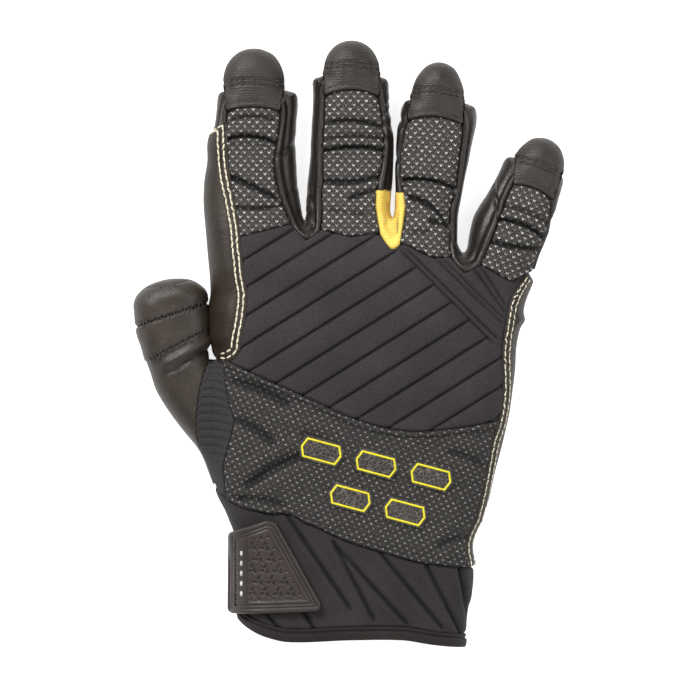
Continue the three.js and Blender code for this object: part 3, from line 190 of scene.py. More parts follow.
THUMB_ROWS = [(0, 0.415, 0.366), (0.4, 0.476, 0.439), (0.7, 0.46, 0.45), (1, 0.44, 0.43)]
THUMB_ROOT_SHARE, THUMB_ROOT_UP, THUMB_LEAN = 0.402, 0.567, -9.8
THUMB_DOME, BAND_LOW, BAND_HIGH, BAND_SLANT = 0.72, 0.06, 0.5, 0.27
CAP_SLIM = 0.07


class Finger:
    """A frame for a finger: `place(at, aside)` gives the plan point at a share of its length."""

    def __init__(self, root, lean, reach, left, right, **more):
        self.root, self.reach, self.left, self.right = np.array(root, float), reach, left, right
        lean = math.radians(lean)
        self.axis = np.array([math.sin(lean), math.cos(lean)])
        self.side = np.array([math.cos(lean), -math.sin(lean)])
        self.__dict__.update(more)

    def place(self, at, aside):
        at, aside = np.broadcast_arrays(np.asarray(at, float), np.asarray(aside, float))
        return self.root + self.axis * (at * self.reach)[..., None] + self.side * aside[..., None]

    def local(self, points):
        """Station and sideways distance of plan points."""
        offset = np.asarray(points, float) - self.root
        return offset @ self.axis / self.reach, offset @ self.side


def quarter(k):
    """Quarter-round: 0 at the outline, 1 where the roll ends."""
    return np.sqrt(np.clip(1 - (1 - np.clip(k, 0, 1)) ** 2, 0, 1))


def make_finger(name, spec):
    left, right, seam_left, seam_right = columns(spec["rows"], HAND_WIDTH)
    root = (across(spec["root"]), KNUCKLES - spec["drop"] * PALM_LENGTH)
    cap_left, cap_right = across(spec["cap"][0]), across(spec["cap"][1])
    return Finger(
        root, spec["lean"], spec["length"] * FINGER_LENGTH, left, right, name=name, ear=spec["ear"],
        seam_left=seam_left, seam_right=seam_right, cap_left=cap_left, cap_right=cap_right,
        dome=spec["dome"] * (cap_left + cap_right) / 2, seam=spec["seam"], arch=spec["arch"],
    )


fingers = {name: make_finger(name, spec) for name, spec in FINGERS.items()}
thumb_root = (HAND_EDGE - THUMB_ROOT_SHARE * THUMB_REACH, rise(THUMB_ROOT_UP))
thumb = Finger(thumb_root, THUMB_LEAN, THUMB_LENGTH, *columns(THUMB_ROWS, THUMB_REACH))


def tip_sides(finger, at):
    """Left and right edge of a closed tip: straight up to its dome, then a quarter-round."""
    if finger is thumb:
        low = np.minimum(at, THUMB_DOME)
        left, right, dome = thumb.left(low), thumb.right(low), (1 - THUMB_DOME) * THUMB_LENGTH
    else:
        left, right, dome = finger.cap_left, finger.cap_right, finger.dome
    half = (left + right) / 2 * quarter((1 - at) * finger.reach / dome)
    return (right - left) / 2 - half, (right - left) / 2 + half


# %% The edges of the hand
THUMB_SIDE = [
    (-1, -0.32), (-0.635, -0.288), (-0.317, -0.288), (-0.079, -0.235), (0.028, -0.15), (0.0887, -0.037),
    (0.142, 0.024), (0.248, 0.183), (0.319, 0.378), (0.39, 0.561), (0.461, 0.707), (0.525, 0.78),
]
INDEX_SIDE = [(0.585, -0.4275), (0.674, -0.428), (0.78, -0.43), (0.869, -0.434), (0.94, -0.44)]
LITTLE_SIDE = [
    (0.851, 0.57), (0.78, 0.545), (0.716, 0.533), (0.62, 0.517), (0.496, 0.508), (0.355, 0.489),
    (0.213, 0.458),
    (0.071, 0.4266), (-0.0635, 0.395), (-0.198, 0.378), (-0.397, 0.386), (-0.571, 0.38), (-0.73, 0.367),
    (-0.889, 0.36), (-1, 0.36),
]
(thumb_out,) = columns(THUMB_SIDE, THUMB_REACH)
(index_out,) = columns(INDEX_SIDE, HAND_WIDTH)
(little_out,) = columns(LITTLE_SIDE, HAND_WIDTH)


def plan(x, y):
    return np.stack(np.broadcast_arrays(np.asarray(x, float), np.asarray(y, float)), axis=-1)


def spot(share, up):
    """Plan point from shares of the hand's width and length."""
    return plan(across(share), rise(up))


def thumb_side(up):
    return plan(HAND_EDGE - thumb_out(up), rise(up))


def index_side(up):
    return plan(index_out(up), rise(up))


def little_side(up):
    return plan(little_out(up), rise(up))


def bow(a, low, b):
    """A parabola from a to b that passes the point low half way."""
    a, low, b = (np.asarray(p, float) for p in (a, low, b))
    control = 2 * low - (a + b) / 2

    def at(k):
        k = np.asarray(k, float)[..., None]
        return (1 - k) ** 2 * a + 2 * k * (1 - k) * control + k**2 * b

    return at


CROTCHES = [
    ("index", "middle", 0.13, 0.13, -0.142, 1.0674),
    ("middle", "ring", 0.14, 0.21, 0.1328, 1.078),
    ("ring", "little", 0.06, 0.08, 0.3516, 0.954),
]


def crotch_line(left, right, down, up, share, height):
    a, b = fingers[left], fingers[right]
    return bow(a.place(down, a.right(down)), (across(share), rise(height)), b.place(up, -b.left(up)))


crotches = [crotch_line(*row) for row in CROTCHES]
thumb_end, index_end = thumb.place(0, thumb.right(0)), index_side(0.585)
thumb_crotch = bow(thumb_end, ((thumb_end[0] + index_end[0]) / 2, rise(0.568)), index_end)
DOME = np.sin(steps(14) * math.pi / 2)


def finger_outline(finger, start, end):
    """Up one side, round the tip and down the other."""
    at = mix(start, finger.ear, steps(24))
    tip = mix(finger.ear + 0.015, 1, DOME)
    left, right = tip_sides(finger, tip)
    down = mix(finger.ear, end, steps(24))
    return np.concatenate([
        finger.place(at, -finger.left(at)), finger.place(tip, left),
        finger.place(tip, right)[-2::-1], finger.place(down, finger.right(down)),
    ])


def whole_outline():
    ups = mix(-1, 0.525, steps(60))
    parts = [(thumb_side(ups), mix(HAND_ROLL, FINGER_ROLL, smooth((ups + 0.1) / 0.4)))]
    low, tip = mix(0.03, THUMB_DOME, steps(12)), mix(THUMB_DOME, 1, DOME[1:])
    left, right = tip_sides(thumb, tip)
    parts += [(p, FINGER_ROLL) for p in (
        thumb.place(low, -thumb.left(low)), thumb.place(tip, left), thumb.place(tip, right)[-2::-1],
        thumb.place(low, thumb.right(low))[::-1], thumb_crotch(steps(8)),
        index_side(mix(0.585, 0.94, steps(24)))[1:],
    )]
    starts, ends = (0.05, 0.13, 0.21, 0.08), (0.13, 0.14, 0.06, 0.1)
    for i, finger in enumerate(fingers.values()):
        parts.append((finger_outline(finger, starts[i], ends[i]), FINGER_ROLL))
        if i < 3:
            parts.append((crotches[i](steps(12)[1:-1]), FINGER_ROLL))
    ups = mix(0.851, -1, steps(70))
    parts.append((little_side(ups), mix(FINGER_ROLL, HAND_ROLL, smooth((0.85 - ups) / 0.3))))
    line = np.concatenate([p for p, _ in parts])
    roll = np.concatenate([np.broadcast_to(r, len(p)) for p, r in parts])
    return line, roll


outline, outline_roll = whole_outline()
SHIFT = np.array([-(outline[:, 0].min() + outline[:, 0].max()) / 2, -(KNUCKLES + FINGER_LENGTH) / 2, 0])
print("outline has", len(outline), "points; origin shift", SHIFT.round(3))

# %% [markdown]
# ## The skin
# A plan point's height comes from its distance to the outline. From the outline inwards the height
# follows a quarter-round up to the crest, above, and down to the table, below. The crest is highest
# over the palm and lower over fingers, thumb and cuff.


# %% Distance to the outline
def nearest(points):
    """Distance inside the outline, unit direction away from it, and the roll radius there."""
    flat = np.asarray(points, float).reshape(-1, 2)
    a, edge = outline[:-1], np.diff(outline, axis=0)
    size = (edge**2).sum(1)
    keep = size > 1e-12
    a, edge, size, roll = a[keep], edge[keep], size[keep], outline_roll[:-1][keep]
    gap, away, rolls = np.empty(len(flat)), np.empty((len(flat), 2)), np.empty(len(flat))
    for start in range(0, len(flat), 6000):
        part = flat[start:start + 6000]
        to = part[:, None] - a
        k = np.clip((to * edge).sum(2) / size, 0, 1)
        rest = to - k[..., None] * edge
        d2 = (rest**2).sum(2)
        i = d2.argmin(1)
        pick = (np.arange(len(part)), i)
        d, rest = np.sqrt(d2[pick]), rest[pick]
        inward = np.stack([edge[i, 1], -edge[i, 0]], 1) / np.sqrt(size[i])[:, None]
        inside = ((rest * inward).sum(1) > 0) | (d > 0.5)
        clear = inside & (d > 0.05)
        away[start:start + 6000] = np.where(clear[:, None], rest / np.maximum(d, 1e-9)[:, None], inward)
        gap[start:start + 6000] = np.where(inside, d, 0)
        rolls[start:start + 6000] = roll[i]
    shape = np.shape(points)[:-1]
    return gap.reshape(shape), away.reshape(shape + (2,)), rolls.reshape(shape)


def within(points):
    """True inside the closed outline: a line to the right crosses it an odd number of times."""
    a, b = outline, np.roll(outline, -1, axis=0)
    flat = np.asarray(points, float).reshape(-1, 2)
    crossings = np.zeros(len(flat), int)
    for (ax, ay), (bx, by) in zip(a, b):
        if ay != by:
            spans = (flat[:, 1] >= ay) != (flat[:, 1] >= by)
            crossings += spans & (flat[:, 0] < ax + (flat[:, 1] - ay) * (bx - ax) / (by - ay))
    return (crossings % 2 == 1).reshape(np.shape(points)[:-1])


crest_along = curve(
    [0, rise(0), rise(0.3), rise(0.6), rise(0.85), rise(1), KNUCKLES + 0.3 * FINGER_LENGTH,
     KNUCKLES + FINGER_LENGTH],
    [CUFF_HEIGHT, CUFF_HEIGHT, 0.97 * PALM_HEIGHT, PALM_HEIGHT, 0.9 * PALM_HEIGHT,
     mix(PALM_HEIGHT, FINGER_HEIGHT, 0.6), FINGER_HEIGHT, 0.88 * FINGER_HEIGHT],
)


def crest(x, y):
    """Crest height: along the hand, lower towards its edges, lower again over the thumb."""
    hand = smooth((KNUCKLES - y) / (0.2 * PALM_LENGTH))
    crown = 1 - CROWN_SHARE * hand * (x / (HAND_WIDTH / 2)) ** 2
    span = across(0.09)
    low = smooth((rise(0.9) - y) / (0.15 * PALM_LENGTH)) * smooth((y - rise(0.05)) / (0.3 * PALM_LENGTH))
    return mix(crest_along(y) * crown, THUMB_HEIGHT, low * smooth((HAND_EDGE + span - x) / span))


def skin(points, side=1):
    """Points and outward directions on the back (side 1) or under the hand (side -1).

    Height is middle + (crest - middle) * quarter(distance / roll) on the back, and
    middle * (1 - quarter(distance / roll)) under it. The back is a little fuller away from the edge.
    """
    points = np.asarray(points, float)
    d, away, roll = nearest(points)
    x, y = points[..., 0], points[..., 1]
    high = crest(x, y)
    middle = high * MID_SHARE
    q = quarter(d / roll)
    if side > 0:
        z = middle + (high - middle) * q + 0.7 * (1 - peak(d, 9))
        lean = (high - middle) * np.clip(1 - d / roll, 0, 1)
    else:
        z = middle * (1 - q)
        lean = middle * np.clip(1 - d / roll, 0, 1)
    normal = np.concatenate([-away * lean[..., None], (side * roll * q)[..., None]], axis=-1)
    normal /= np.linalg.norm(normal, axis=-1, keepdims=True)
    return np.concatenate([points, z[..., None]], axis=-1), normal


def both_sides(xy, back):
    """The skin on the back in the columns where `back` is true, under the hand in the others."""
    p_back, n_back = skin(xy, 1)
    p_palm, n_palm = skin(xy, -1)
    pick = np.broadcast_to(back[None, :, None], p_back.shape)
    return np.where(pick, p_back, p_palm), np.where(pick, n_back, n_palm)


def grid_faces(rows, cols, ring=False):
    i, j = np.meshgrid(np.arange(rows - 1), np.arange(cols if ring else cols - 1), indexing="ij")
    a = (i * cols + j).ravel()
    b = (i * cols + (j + 1) % cols).ravel()
    return np.stack([a, b, b + cols, a + cols], axis=1)


def arc_lengths(points, axis):
    """Running length in millimetres down a grid's columns (axis 0) or along its rows (axis 1)."""
    run = np.cumsum(np.linalg.norm(np.diff(points, axis=axis), axis=-1), axis=axis)
    return np.concatenate([np.zeros_like(np.take(run, [0], axis)), run], axis=axis)


def to_seam(points):
    """Millimetres from each point of a grid to the last one of its row."""
    run = arc_lengths(points, 1)
    return run[:, -1:] - run


def edge_distance(points, ends=True, sides=True):
    """Millimetres from each grid point to the nearest edge of its grid."""
    best = np.full(points.shape[:2], 99.0)
    if sides:
        run = arc_lengths(points, 1)
        best = np.minimum(best, np.minimum(run, run[:, -1:] - run))
    if ends:
        run = arc_lengths(points, 0)
        best = np.minimum(best, np.minimum(run, run[-1:] - run))
    return best


def ripple(points, size, seed):
    """Soft irregular waves between -1 and 1, from a few crossing sines of about that size."""
    rng = np.random.default_rng(seed)
    total = np.zeros(points.shape[:-1])
    for _ in range(6):
        angle, phase = rng.uniform(0, math.tau, 2)
        wave = size * rng.uniform(0.7, 1.6)
        along = points[..., 0] * math.cos(angle) + points[..., 1] * math.sin(angle)
        total += np.sin(along * math.tau / wave + phase)
    return total / 6


# %% [markdown]
# ## From arrays to Blender meshes
# `piece` turns a grid of points into a mesh object, gives it a wall and a cloth map measured in
# millimetres, hangs it on the root empty and hides the solid parts it stands for. The wall is a second copy
# of the surface moved in along the skin's own directions, so that it stays smooth round the tight side
# rolls.


# %% Mesh helper
def cavity(relief, ring=False, reach=4):
    """Depth below the mean relief of the cells around, as a share: 0 on flat cloth, 1 in a crease; it sets
    the painted crease shade.
    """
    wide = np.pad(relief, ((reach, reach), (0, 0)), mode="edge")
    wide = np.pad(wide, ((0, 0), (reach, reach)), mode="wrap" if ring else "edge")
    for axis in (0, 1):
        run = np.cumsum(wide, axis=axis)
        run = np.concatenate([np.zeros_like(np.take(run, [0], axis)), run], axis=axis)
        size = run.shape[axis]
        span = 2 * reach + 1
        wide = (np.take(run, range(span, size), axis) - np.take(run, range(0, size - span), axis)) / span
    return np.clip((wide - relief - 0.04) / 0.5, 0, 1)


def walled(points, faces, normals, wall):
    """Adds an inner copy, moved in by the wall's thickness, and joins both along every free edge."""
    count = len(points)
    sides = faces[:, [[0, 1], [1, 2], [2, 3], [3, 0]]].reshape(-1, 2)
    pair = np.array([count, 1])
    a, b = sides[~np.isin(sides @ pair, sides[:, ::-1] @ pair)].T
    border = np.stack([b, a, a + count, b + count], axis=1)
    both = np.concatenate([points, points - normals * wall])
    both[:, 2] = np.maximum(both[:, 2], LOWEST)
    return both, np.concatenate([faces, faces[:, ::-1] + count, border])


def inside_out(points, faces, normals):
    """True where the faces look against the outward directions."""
    corner = points[faces]
    facing = np.cross(corner[:, 1] - corner[:, 0], corner[:, 2] - corner[:, 0])
    return (facing * normals[faces].mean(1)).sum() < 0


def piece(name, points, faces, normals, material, wall=LEATHER_WALL, uv=None, nodes=(), fold=None):
    points = points.reshape(-1, 3)
    normals = normals.reshape(-1, 3)
    uv = points[:, :2] if uv is None else uv.reshape(-1, 2)
    if inside_out(points, faces, normals):
        faces = faces[:, ::-1]
    if wall:
        points, faces = walled(points, faces, normals, wall)
        uv = np.tile(uv, (2, 1))
        fold = None if fold is None else np.tile(fold.ravel(), 2)
    return finished(name, points, [faces], uv, material, nodes, fold)


def finished(name, points, groups, uv, material, nodes, fold):
    """A mesh from groups of faces, with its cloth map, material and fold attribute of painted crease shade.

    Then it is hung on the root empty, and the solid parts it stands for are hidden.
    """
    mesh = bpy.data.meshes.new(name)
    mesh.from_pydata(((points + SHIFT) / 1000).tolist(), [], sum((part.tolist() for part in groups), []))
    corners = np.concatenate([part.ravel() for part in groups])
    mesh.uv_layers.new(name="cloth").data.foreach_set("uv", (uv[corners] / 1000).ravel())
    mesh.polygons.foreach_set("use_smooth", np.ones(len(mesh.polygons), bool))
    mesh.materials.append(material)
    if fold is not None:
        # The fold attribute holds the painted crease shade that the material reads.
        creases = mesh.attributes.new("fold", "FLOAT", "POINT")
        creases.data.foreach_set("value", fold.ravel().astype(np.float32))
    mesh.update()
    obj = bpy.data.objects.new(name, mesh)
    bpy.context.scene.collection.objects.link(obj)
    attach(obj, "root")
    if nodes:
        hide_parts(*nodes)
    print(f"{name}: {len(mesh.vertices)} points, {len(mesh.polygons)} faces")
    return obj


def panel(name, points, normals, relief, material, wall=LEATHER_WALL, uv=None, nodes=(), ring=False):
    """A grid piece whose points move out along their directions by the relief."""
    moved = points + normals * relief[..., None]
    moved[..., 2] = np.maximum(moved[..., 2], LOWEST)
    faces = grid_faces(*points.shape[:2], ring)
    # Painted shade: the fold attribute darkens narrow creases and, more softly, broad hollows of the relief.
    fold = np.maximum(cavity(relief, ring), 0.75 * cavity(relief, ring, 12))
    return piece(name, moved, faces, normals, material, wall, uv, nodes, fold)


# %% [markdown]
# ## Materials
# Leather is a dark brown with fine pores and creases, neoprene a knit face with tiny ribs, and the
# mesh a speckled cloth with small V-shaped light dots in staggered rows. Each is made from procedural
# textures: dots and weaves read the cloth map in millimetres, grain reads Object coordinates. Most also
# get painted shade in creases from the piece's fold attribute.


# %% Node helpers
class Nodes:
    """Short calls for building one material's node tree."""

    def __init__(self, name, color, roughness, **sockets):
        self.material = bpy.data.materials.new(name)
        self.material.use_nodes = True
        self.tree = self.material.node_tree
        self.shader = self.tree.nodes["Principled BSDF"]
        self.material.diffuse_color = (*color, 1)
        self.shader.inputs["Base Color"].default_value = (*color, 1)
        self.shader.inputs["Roughness"].default_value = roughness
        for key, value in sockets.items():
            self.shader.inputs[key.replace("_", " ")].default_value = value
        self.height = None

    def node(self, kind, **values):
        node = self.tree.nodes.new(kind)
        for key, value in values.items():
            setattr(node, key, value)
        return node

    def link(self, a, b):
        self.tree.links.new(a, b)

    def feed(self, socket, value):
        if hasattr(value, "is_linked"):
            self.link(value, socket)
        else:
            socket.default_value = value

    def math(self, kind, a, b=0.5, clamp=False):
        node = self.node("ShaderNodeMath", operation=kind, use_clamp=clamp)
        self.feed(node.inputs[0], a)
        self.feed(node.inputs[1], b)
        return node.outputs[0]

    def plus(self, a, b):
        return self.math("ADD", a, b)

    def minus(self, a, b, clamp=False):
        return self.math("SUBTRACT", a, b, clamp)

    def times(self, a, b, clamp=False):
        return self.math("MULTIPLY", a, b, clamp)

    def place(self, kind="Object", scale=1000.0, turn=0.0):
        coords = self.node("ShaderNodeTexCoord")
        mapping = self.node("ShaderNodeMapping")
        mapping.inputs["Scale"].default_value = (scale, scale, scale)
        mapping.inputs["Rotation"].default_value = (0, 0, turn)
        self.link(coords.outputs[kind], mapping.inputs["Vector"])
        return mapping.outputs[0]

    def used(self, node, source, socket, out, **inputs):
        """Links a source into a node, sets its other inputs and gives back an output."""
        self.link(source, node.inputs[socket])
        for key, value in inputs.items():
            node.inputs[key.replace("_", " ")].default_value = value
        return node.outputs[out]

    def noise(self, where, scale, detail=3.0, rough=0.55, distortion=0.0):
        inputs = dict(Scale=scale, Detail=detail, Roughness=rough, Distortion=distortion)
        return self.used(self.node("ShaderNodeTexNoise"), where, "Vector", "Fac", **inputs)

    def cells(self, where, scale, feature="F1"):
        node = self.node("ShaderNodeTexVoronoi", feature=feature)
        return self.used(node, where, "Vector", "Distance", Scale=scale)

    def wave(self, where, scale, direction, distortion):
        node = self.node("ShaderNodeTexWave", bands_direction=direction)
        return self.used(node, where, "Vector", "Fac", Scale=scale, Distortion=distortion)

    def band(self, value, low, high):
        """0 below low, 1 above high, straight between."""
        return self.used(self.node("ShaderNodeMapRange"), value, "Value", 0, From_Min=low, From_Max=high)

    def tint(self, amount, low, high):
        """Mixes two colours by an amount and feeds the base colour."""
        node = self.node("ShaderNodeMix", data_type="RGBA")
        self.feed(node.inputs["Factor"], amount)
        self.feed(node.inputs[6], low if hasattr(low, "is_linked") else (*low, 1))
        self.feed(node.inputs[7], high if hasattr(high, "is_linked") else (*high, 1))
        self.link(node.outputs[2], self.shader.inputs["Base Color"])
        return node.outputs[2]

    def bump(self, value, distance, strength=1.0):
        """Adds relief of so many millimetres; calls chain."""
        node = self.node("ShaderNodeBump")
        node.inputs["Distance"].default_value = distance / 1000
        node.inputs["Strength"].default_value = strength
        self.link(value, node.inputs["Height"])
        if self.height is not None:
            self.link(self.height, node.inputs["Normal"])
        self.height = node.outputs[0]
        self.link(self.height, self.shader.inputs["Normal"])

    def rough(self, value, low, high):
        out = self.used(self.node("ShaderNodeMapRange"), value, "Value", 0, To_Min=low, To_Max=high)
        self.link(out, self.shader.inputs["Roughness"])

    def shaded(self, depth=0.85):
        """Paints shade into the colour where the piece's own fold attribute marks a crease."""
        base = self.shader.inputs["Base Color"].links[0].from_socket
        fold = self.node("ShaderNodeAttribute", attribute_name="fold").outputs["Fac"]
        # The near-black mix colour is the painted shade.
        self.tint(self.times(fold, depth), base, (0.002, 0.0017, 0.0016))
        return self.material


# %% Leather
def leather(name, dark, light, roughness, grain=1.0, ribbing=0.0):
    n = Nodes(name, light, roughness, Specular_IOR_Level=0.3)
    where = n.place()
    if ribbing:
        n.bump(n.wave(n.place("UV"), 0.36, "Y", 5.0), ribbing, 0.6)
    pores = n.cells(where, 1.9)
    creases = n.noise(where, 0.5, 5, 0.65, 0.4)
    blotches = n.noise(where, 0.055, 4)
    lines = n.noise(n.place(turn=0.3), 1.4, 2)
    n.tint(n.band(n.plus(n.times(pores, 0.35), blotches), 0.35, 0.85), dark, light)
    n.bump(pores, 0.10 * grain, 0.55)
    n.bump(creases, 0.35 * grain, 0.6)
    n.bump(lines, 0.10 * grain, 0.4)
    uneven = n.plus(n.times(creases, 0.5), n.times(blotches, 0.5))
    n.rough(uneven, roughness - 0.14, roughness + 0.16)
    return n.shaded()


patch_leather = leather("patch_leather", (0.009, 0.0053, 0.0029), (0.019, 0.0122, 0.0073), 0.5)
cap_leather = leather("cap_leather", (0.0122, 0.0092, 0.0073), (0.0255, 0.0194, 0.0153), 0.5, 0.8, 0.1)
thumb_leather = leather("thumb_leather", (0.0145, 0.0108, 0.008), (0.032, 0.0238, 0.0182), 0.46)
glossy_leather = leather("glossy_leather", (0.0075, 0.0056, 0.0045), (0.021, 0.016, 0.013), 0.36, 0.9)
palm_leather = leather("palm_leather", (0.014, 0.011, 0.009), (0.034, 0.027, 0.022), 0.6, 1.2)


# %% Mesh cloth with V-shaped dots
def dot_lattice(n, where, shift, pitch, drop, size):
    """V marks on one lattice: near a cell's middle, close to the line y = 1.1 * |x| - 0.28."""
    split = n.node("ShaderNodeSeparateXYZ")
    n.link(where, split.inputs[0])
    u = n.plus(n.math("DIVIDE", split.outputs[0], pitch), shift)
    v = n.plus(n.math("DIVIDE", split.outputs[1], drop), shift)
    x = n.times(n.minus(n.math("FRACT", u), 0.5), pitch / size)
    y = n.times(n.minus(n.math("FRACT", v), 0.5), drop / size)
    ax = n.math("ABSOLUTE", x)
    off = n.math("ABSOLUTE", n.minus(y, n.minus(n.times(ax, 1.1), 0.28)))
    line = n.minus(1.0, n.band(off, 0.14, 0.36), clamp=True)
    reach = n.minus(1.0, n.band(ax, 0.36, 0.62), clamp=True)
    return n.times(line, reach)


def mesh_cloth(name, turn=0.0, flip=False, pitch=2.9, drop=3.1, bright=0.7, size=0.98, speck=0.17):
    n = Nodes(name, (0.05, 0.046, 0.043), 0.8, Specular_IOR_Level=0.25)
    where = n.place("UV", turn=turn)
    if flip:
        where = n.used(n.node("ShaderNodeMapping"), where, "Vector", 0, Scale=(1, -1, 1))
    dots = n.math("MAXIMUM", *(dot_lattice(n, where, shift, pitch, drop, size) for shift in (0.0, 0.5)))
    fade = n.band(n.noise(where, 0.37, 2), 0.38, 0.62)
    frayed = n.band(n.noise(where, 1.9, 2), 0.3, 0.55)
    dots = n.times(dots, n.plus(0.12, n.times(fade, 0.95)), clamp=True)
    dots = n.times(dots, n.plus(0.35, n.times(frayed, 0.65)), clamp=True)
    specks = n.band(n.noise(where, 2.6, 3, 0.8), 0.47, 0.72)
    ground = n.tint(specks, (0.0052, 0.0045, 0.0041), (speck, 0.92 * speck, 0.85 * speck))
    n.tint(dots, ground, (bright, 0.97 * bright, 0.93 * bright))
    n.bump(n.noise(where, 2.4, 2), 0.3, 0.7)
    n.bump(dots, 0.35, 0.8)
    n.bump(n.cells(where, 1.1), 0.25, 0.6)
    return n.shaded(0.9)


finger_mesh = mesh_cloth("finger_mesh")
hand_mesh = mesh_cloth("hand_mesh", math.radians(18), True, 2.7, 2.9, 0.4, 0.78, 0.1)


# %% Neoprene, yellow stretch cloth and tape
def knit(name, dark, light, pitch=0.85, turn=0.0, roughness=0.9, depth=0.16):
    """A knit face: rows of the given pitch in millimetres, crossed by finer wales and fuzz."""
    n = Nodes(name, light, roughness, Specular_IOR_Level=0.22, Sheen_Weight=0.04)
    where = n.place(turn=turn)
    rows = n.wave(where, math.tau / 20 / pitch, "Y", 2.2)
    wales = n.wave(where, math.tau / 14 / pitch, "X", 1.6)
    fuzz = n.noise(where, 2.1, 3, 0.75)
    cloudy = n.noise(where, 0.05, 3)
    amount = n.plus(n.times(rows, 0.18), n.times(fuzz, 0.72))
    amount = n.plus(amount, n.times(cloudy, 0.3))
    n.tint(n.band(amount, 0.42, 0.78), dark, light)
    n.bump(rows, depth, 0.5)
    n.bump(wales, depth * 0.6, 0.4)
    n.bump(fuzz, 0.16, 0.5)
    return n.shaded()


neoprene = knit("neoprene", (0.0125, 0.0105, 0.0112), (0.037, 0.0315, 0.0335), turn=0.56)
cuff_neoprene = knit("cuff_neoprene", (0.0105, 0.0088, 0.0098), (0.029, 0.0245, 0.0265), turn=-0.75)
gusset_knit = knit("gusset_knit", (0.011, 0.0098, 0.0105), (0.037, 0.0335, 0.035), 0.7, depth=0.1)
yellow_stretch = knit("yellow_stretch", (0.5, 0.31, 0.035), (0.78, 0.6, 0.15), 0.55, 0.0, 0.75, 0.05)
binding_tape = knit(
    "binding_tape", (0.007, 0.0055, 0.0052), (0.022, 0.0175, 0.0165), 0.6, math.pi / 2, 0.85, 0.2)


# %% Thread, rubber and floor
def thread(name, dark, light, roughness=0.7):
    n = Nodes(name, light, roughness, Sheen_Weight=0.2)
    where = n.place(turn=0.7)
    twist = n.wave(where, 0.55, "DIAGONAL", 1.5)
    amount = n.plus(n.times(twist, 0.6), n.times(n.noise(where, 0.4), 0.5))
    n.tint(n.band(amount, 0.25, 0.8), dark, light)
    n.bump(twist, 0.12, 0.7)
    return n.material


def rubber(name, dark, light, roughness, hexes=0.0):
    n = Nodes(name, light, roughness, Specular_IOR_Level=0.4)
    where = n.place()
    dust = n.noise(where, 0.9, 4, 0.6)
    n.tint(n.band(n.plus(dust, n.times(n.noise(where, 0.08), 0.6)), 0.45, 1.0), dark, light)
    n.bump(dust, 0.06, 0.5)
    if hexes:
        edge = n.band(n.cells(where, 0.7, "DISTANCE_TO_EDGE"), 0.03, 0.17)
        n.bump(edge, hexes, 0.9)
        # Painted highlight: the hex edges are painted lighter, standing in for light on their faint relief.
        n.tint(edge, tuple(3.2 * c for c in light), n.shader.inputs["Base Color"].links[0].from_socket)
    n.rough(dust, roughness - 0.1, roughness + 0.12)
    return n.shaded()


cream_thread = thread("cream_thread", (0.34, 0.3, 0.2), (0.72, 0.67, 0.52))
dark_thread = thread("dark_thread", (0.003, 0.0025, 0.0022), (0.014, 0.011, 0.0095), 0.5)
tab_rubber = rubber("tab_rubber", (0.0112, 0.007, 0.0057), (0.027, 0.018, 0.015), 0.5)
pad_rubber = rubber("pad_rubber", (0.006, 0.005, 0.0045), (0.03, 0.026, 0.023), 0.42, 0.45)
pad_yellow = rubber("pad_yellow", (0.5, 0.43, 0.008), (0.66, 0.59, 0.025), 0.42)
tab_mark = rubber("tab_mark", (0.3, 0.29, 0.28), (0.5, 0.49, 0.48), 0.6)
print("materials:", len(bpy.data.materials))

# %% [markdown]
# ## Seams
# These tables give the seams as shares of the hand's width and length: where finger backs, back
# panel, mesh, cuff and palm meet, the edge of the side patch, and the depth of the leather strip on
# the little finger's side.

# %% Seam lines
KNUCKLE_SEAM = [
    (-0.3484, 1.0053), (-0.186, 1.0532), (-0.139, 0.9929), (-0.089, 1.0319), (0.0016, 1.0071),
    (0.0828, 1.0213),
    (0.1266, 0.961), (0.1672, 0.9823), (0.2516, 0.9362), (0.314, 0.9362), (0.3547, 0.8794), (0.4078, 0.9078),
    (0.5, 0.85), (0.564, 0.883),
]
BACK_SEAM = [
    (-0.38, 0.564), (-0.283, 0.511), (-0.155, 0.447), (0.023, 0.358), (0.18, 0.319), (0.355, 0.333),
    (0.47, 0.358),
]
CUFF_SEAM = [
    (-0.44, 0.12), (-0.39, 0.085), (-0.336, 0.055), (-0.255, 0.032), (-0.186, 0.028), (-0.108, -0.032),
    (-0.03, -0.127), (0.052, -0.198), (0.223, -0.317), (0.386, -0.365),
]
PALM_SEAM = [
    (-0.44, 0.12), (-0.34, 0.1), (-0.2, 0.02), (0, -0.12), (0.17, -0.29), (0.28, -0.355), (0.386, -0.365),
]
MOUTH = [
    (-0.36, -0.76), (-0.3266, -0.83), (-0.27, -0.9), (-0.19, -0.945), (0, -0.93), (0.16, -0.93),
    (0.25, -0.965),
    (0.361, -1),
]
PATCH_EDGE = [
    (1.02, -0.3516), (0.943, -0.343), (0.869, -0.336), (0.801, -0.3266), (0.716, -0.333), (0.667, -0.341),
    (0.61, -0.3516), (0.567, -0.375),
]
STRIP_DEPTH = [
    (0.883, 0.027), (0.83, 0.038), (0.77, 0.044), (0.69, 0.043), (0.556, 0.0375), (0.443, 0.027),
    (0.347, 0.026),
    (0.283, 0.031), (0.2, 0.026), (0.07, 0.02), (-0.14, 0.018), (-0.365, 0.014),
]
GUSSET = [
    (0.56, -0.443, -0.395), (0.504, -0.461, -0.39), (0.426, -0.4735, -0.379), (0.355, -0.48, -0.362),
    (0.27, -0.4735, -0.377), (0.19, -0.443, -0.395), (0.15, -0.43, -0.392), (0.08, -0.405, -0.383),
    (0, -0.37, -0.342),
]
GUSSET_TOP, GUSSET_PITCH = 0.574, 2.9


def seam_height(rows, raised=0.0):
    """A seam's height as a function of x, moved up by some millimetres."""
    (line,) = columns(rows)

    def at(x):
        return rise(line(np.asarray(x) / HAND_WIDTH)) + raised

    return at


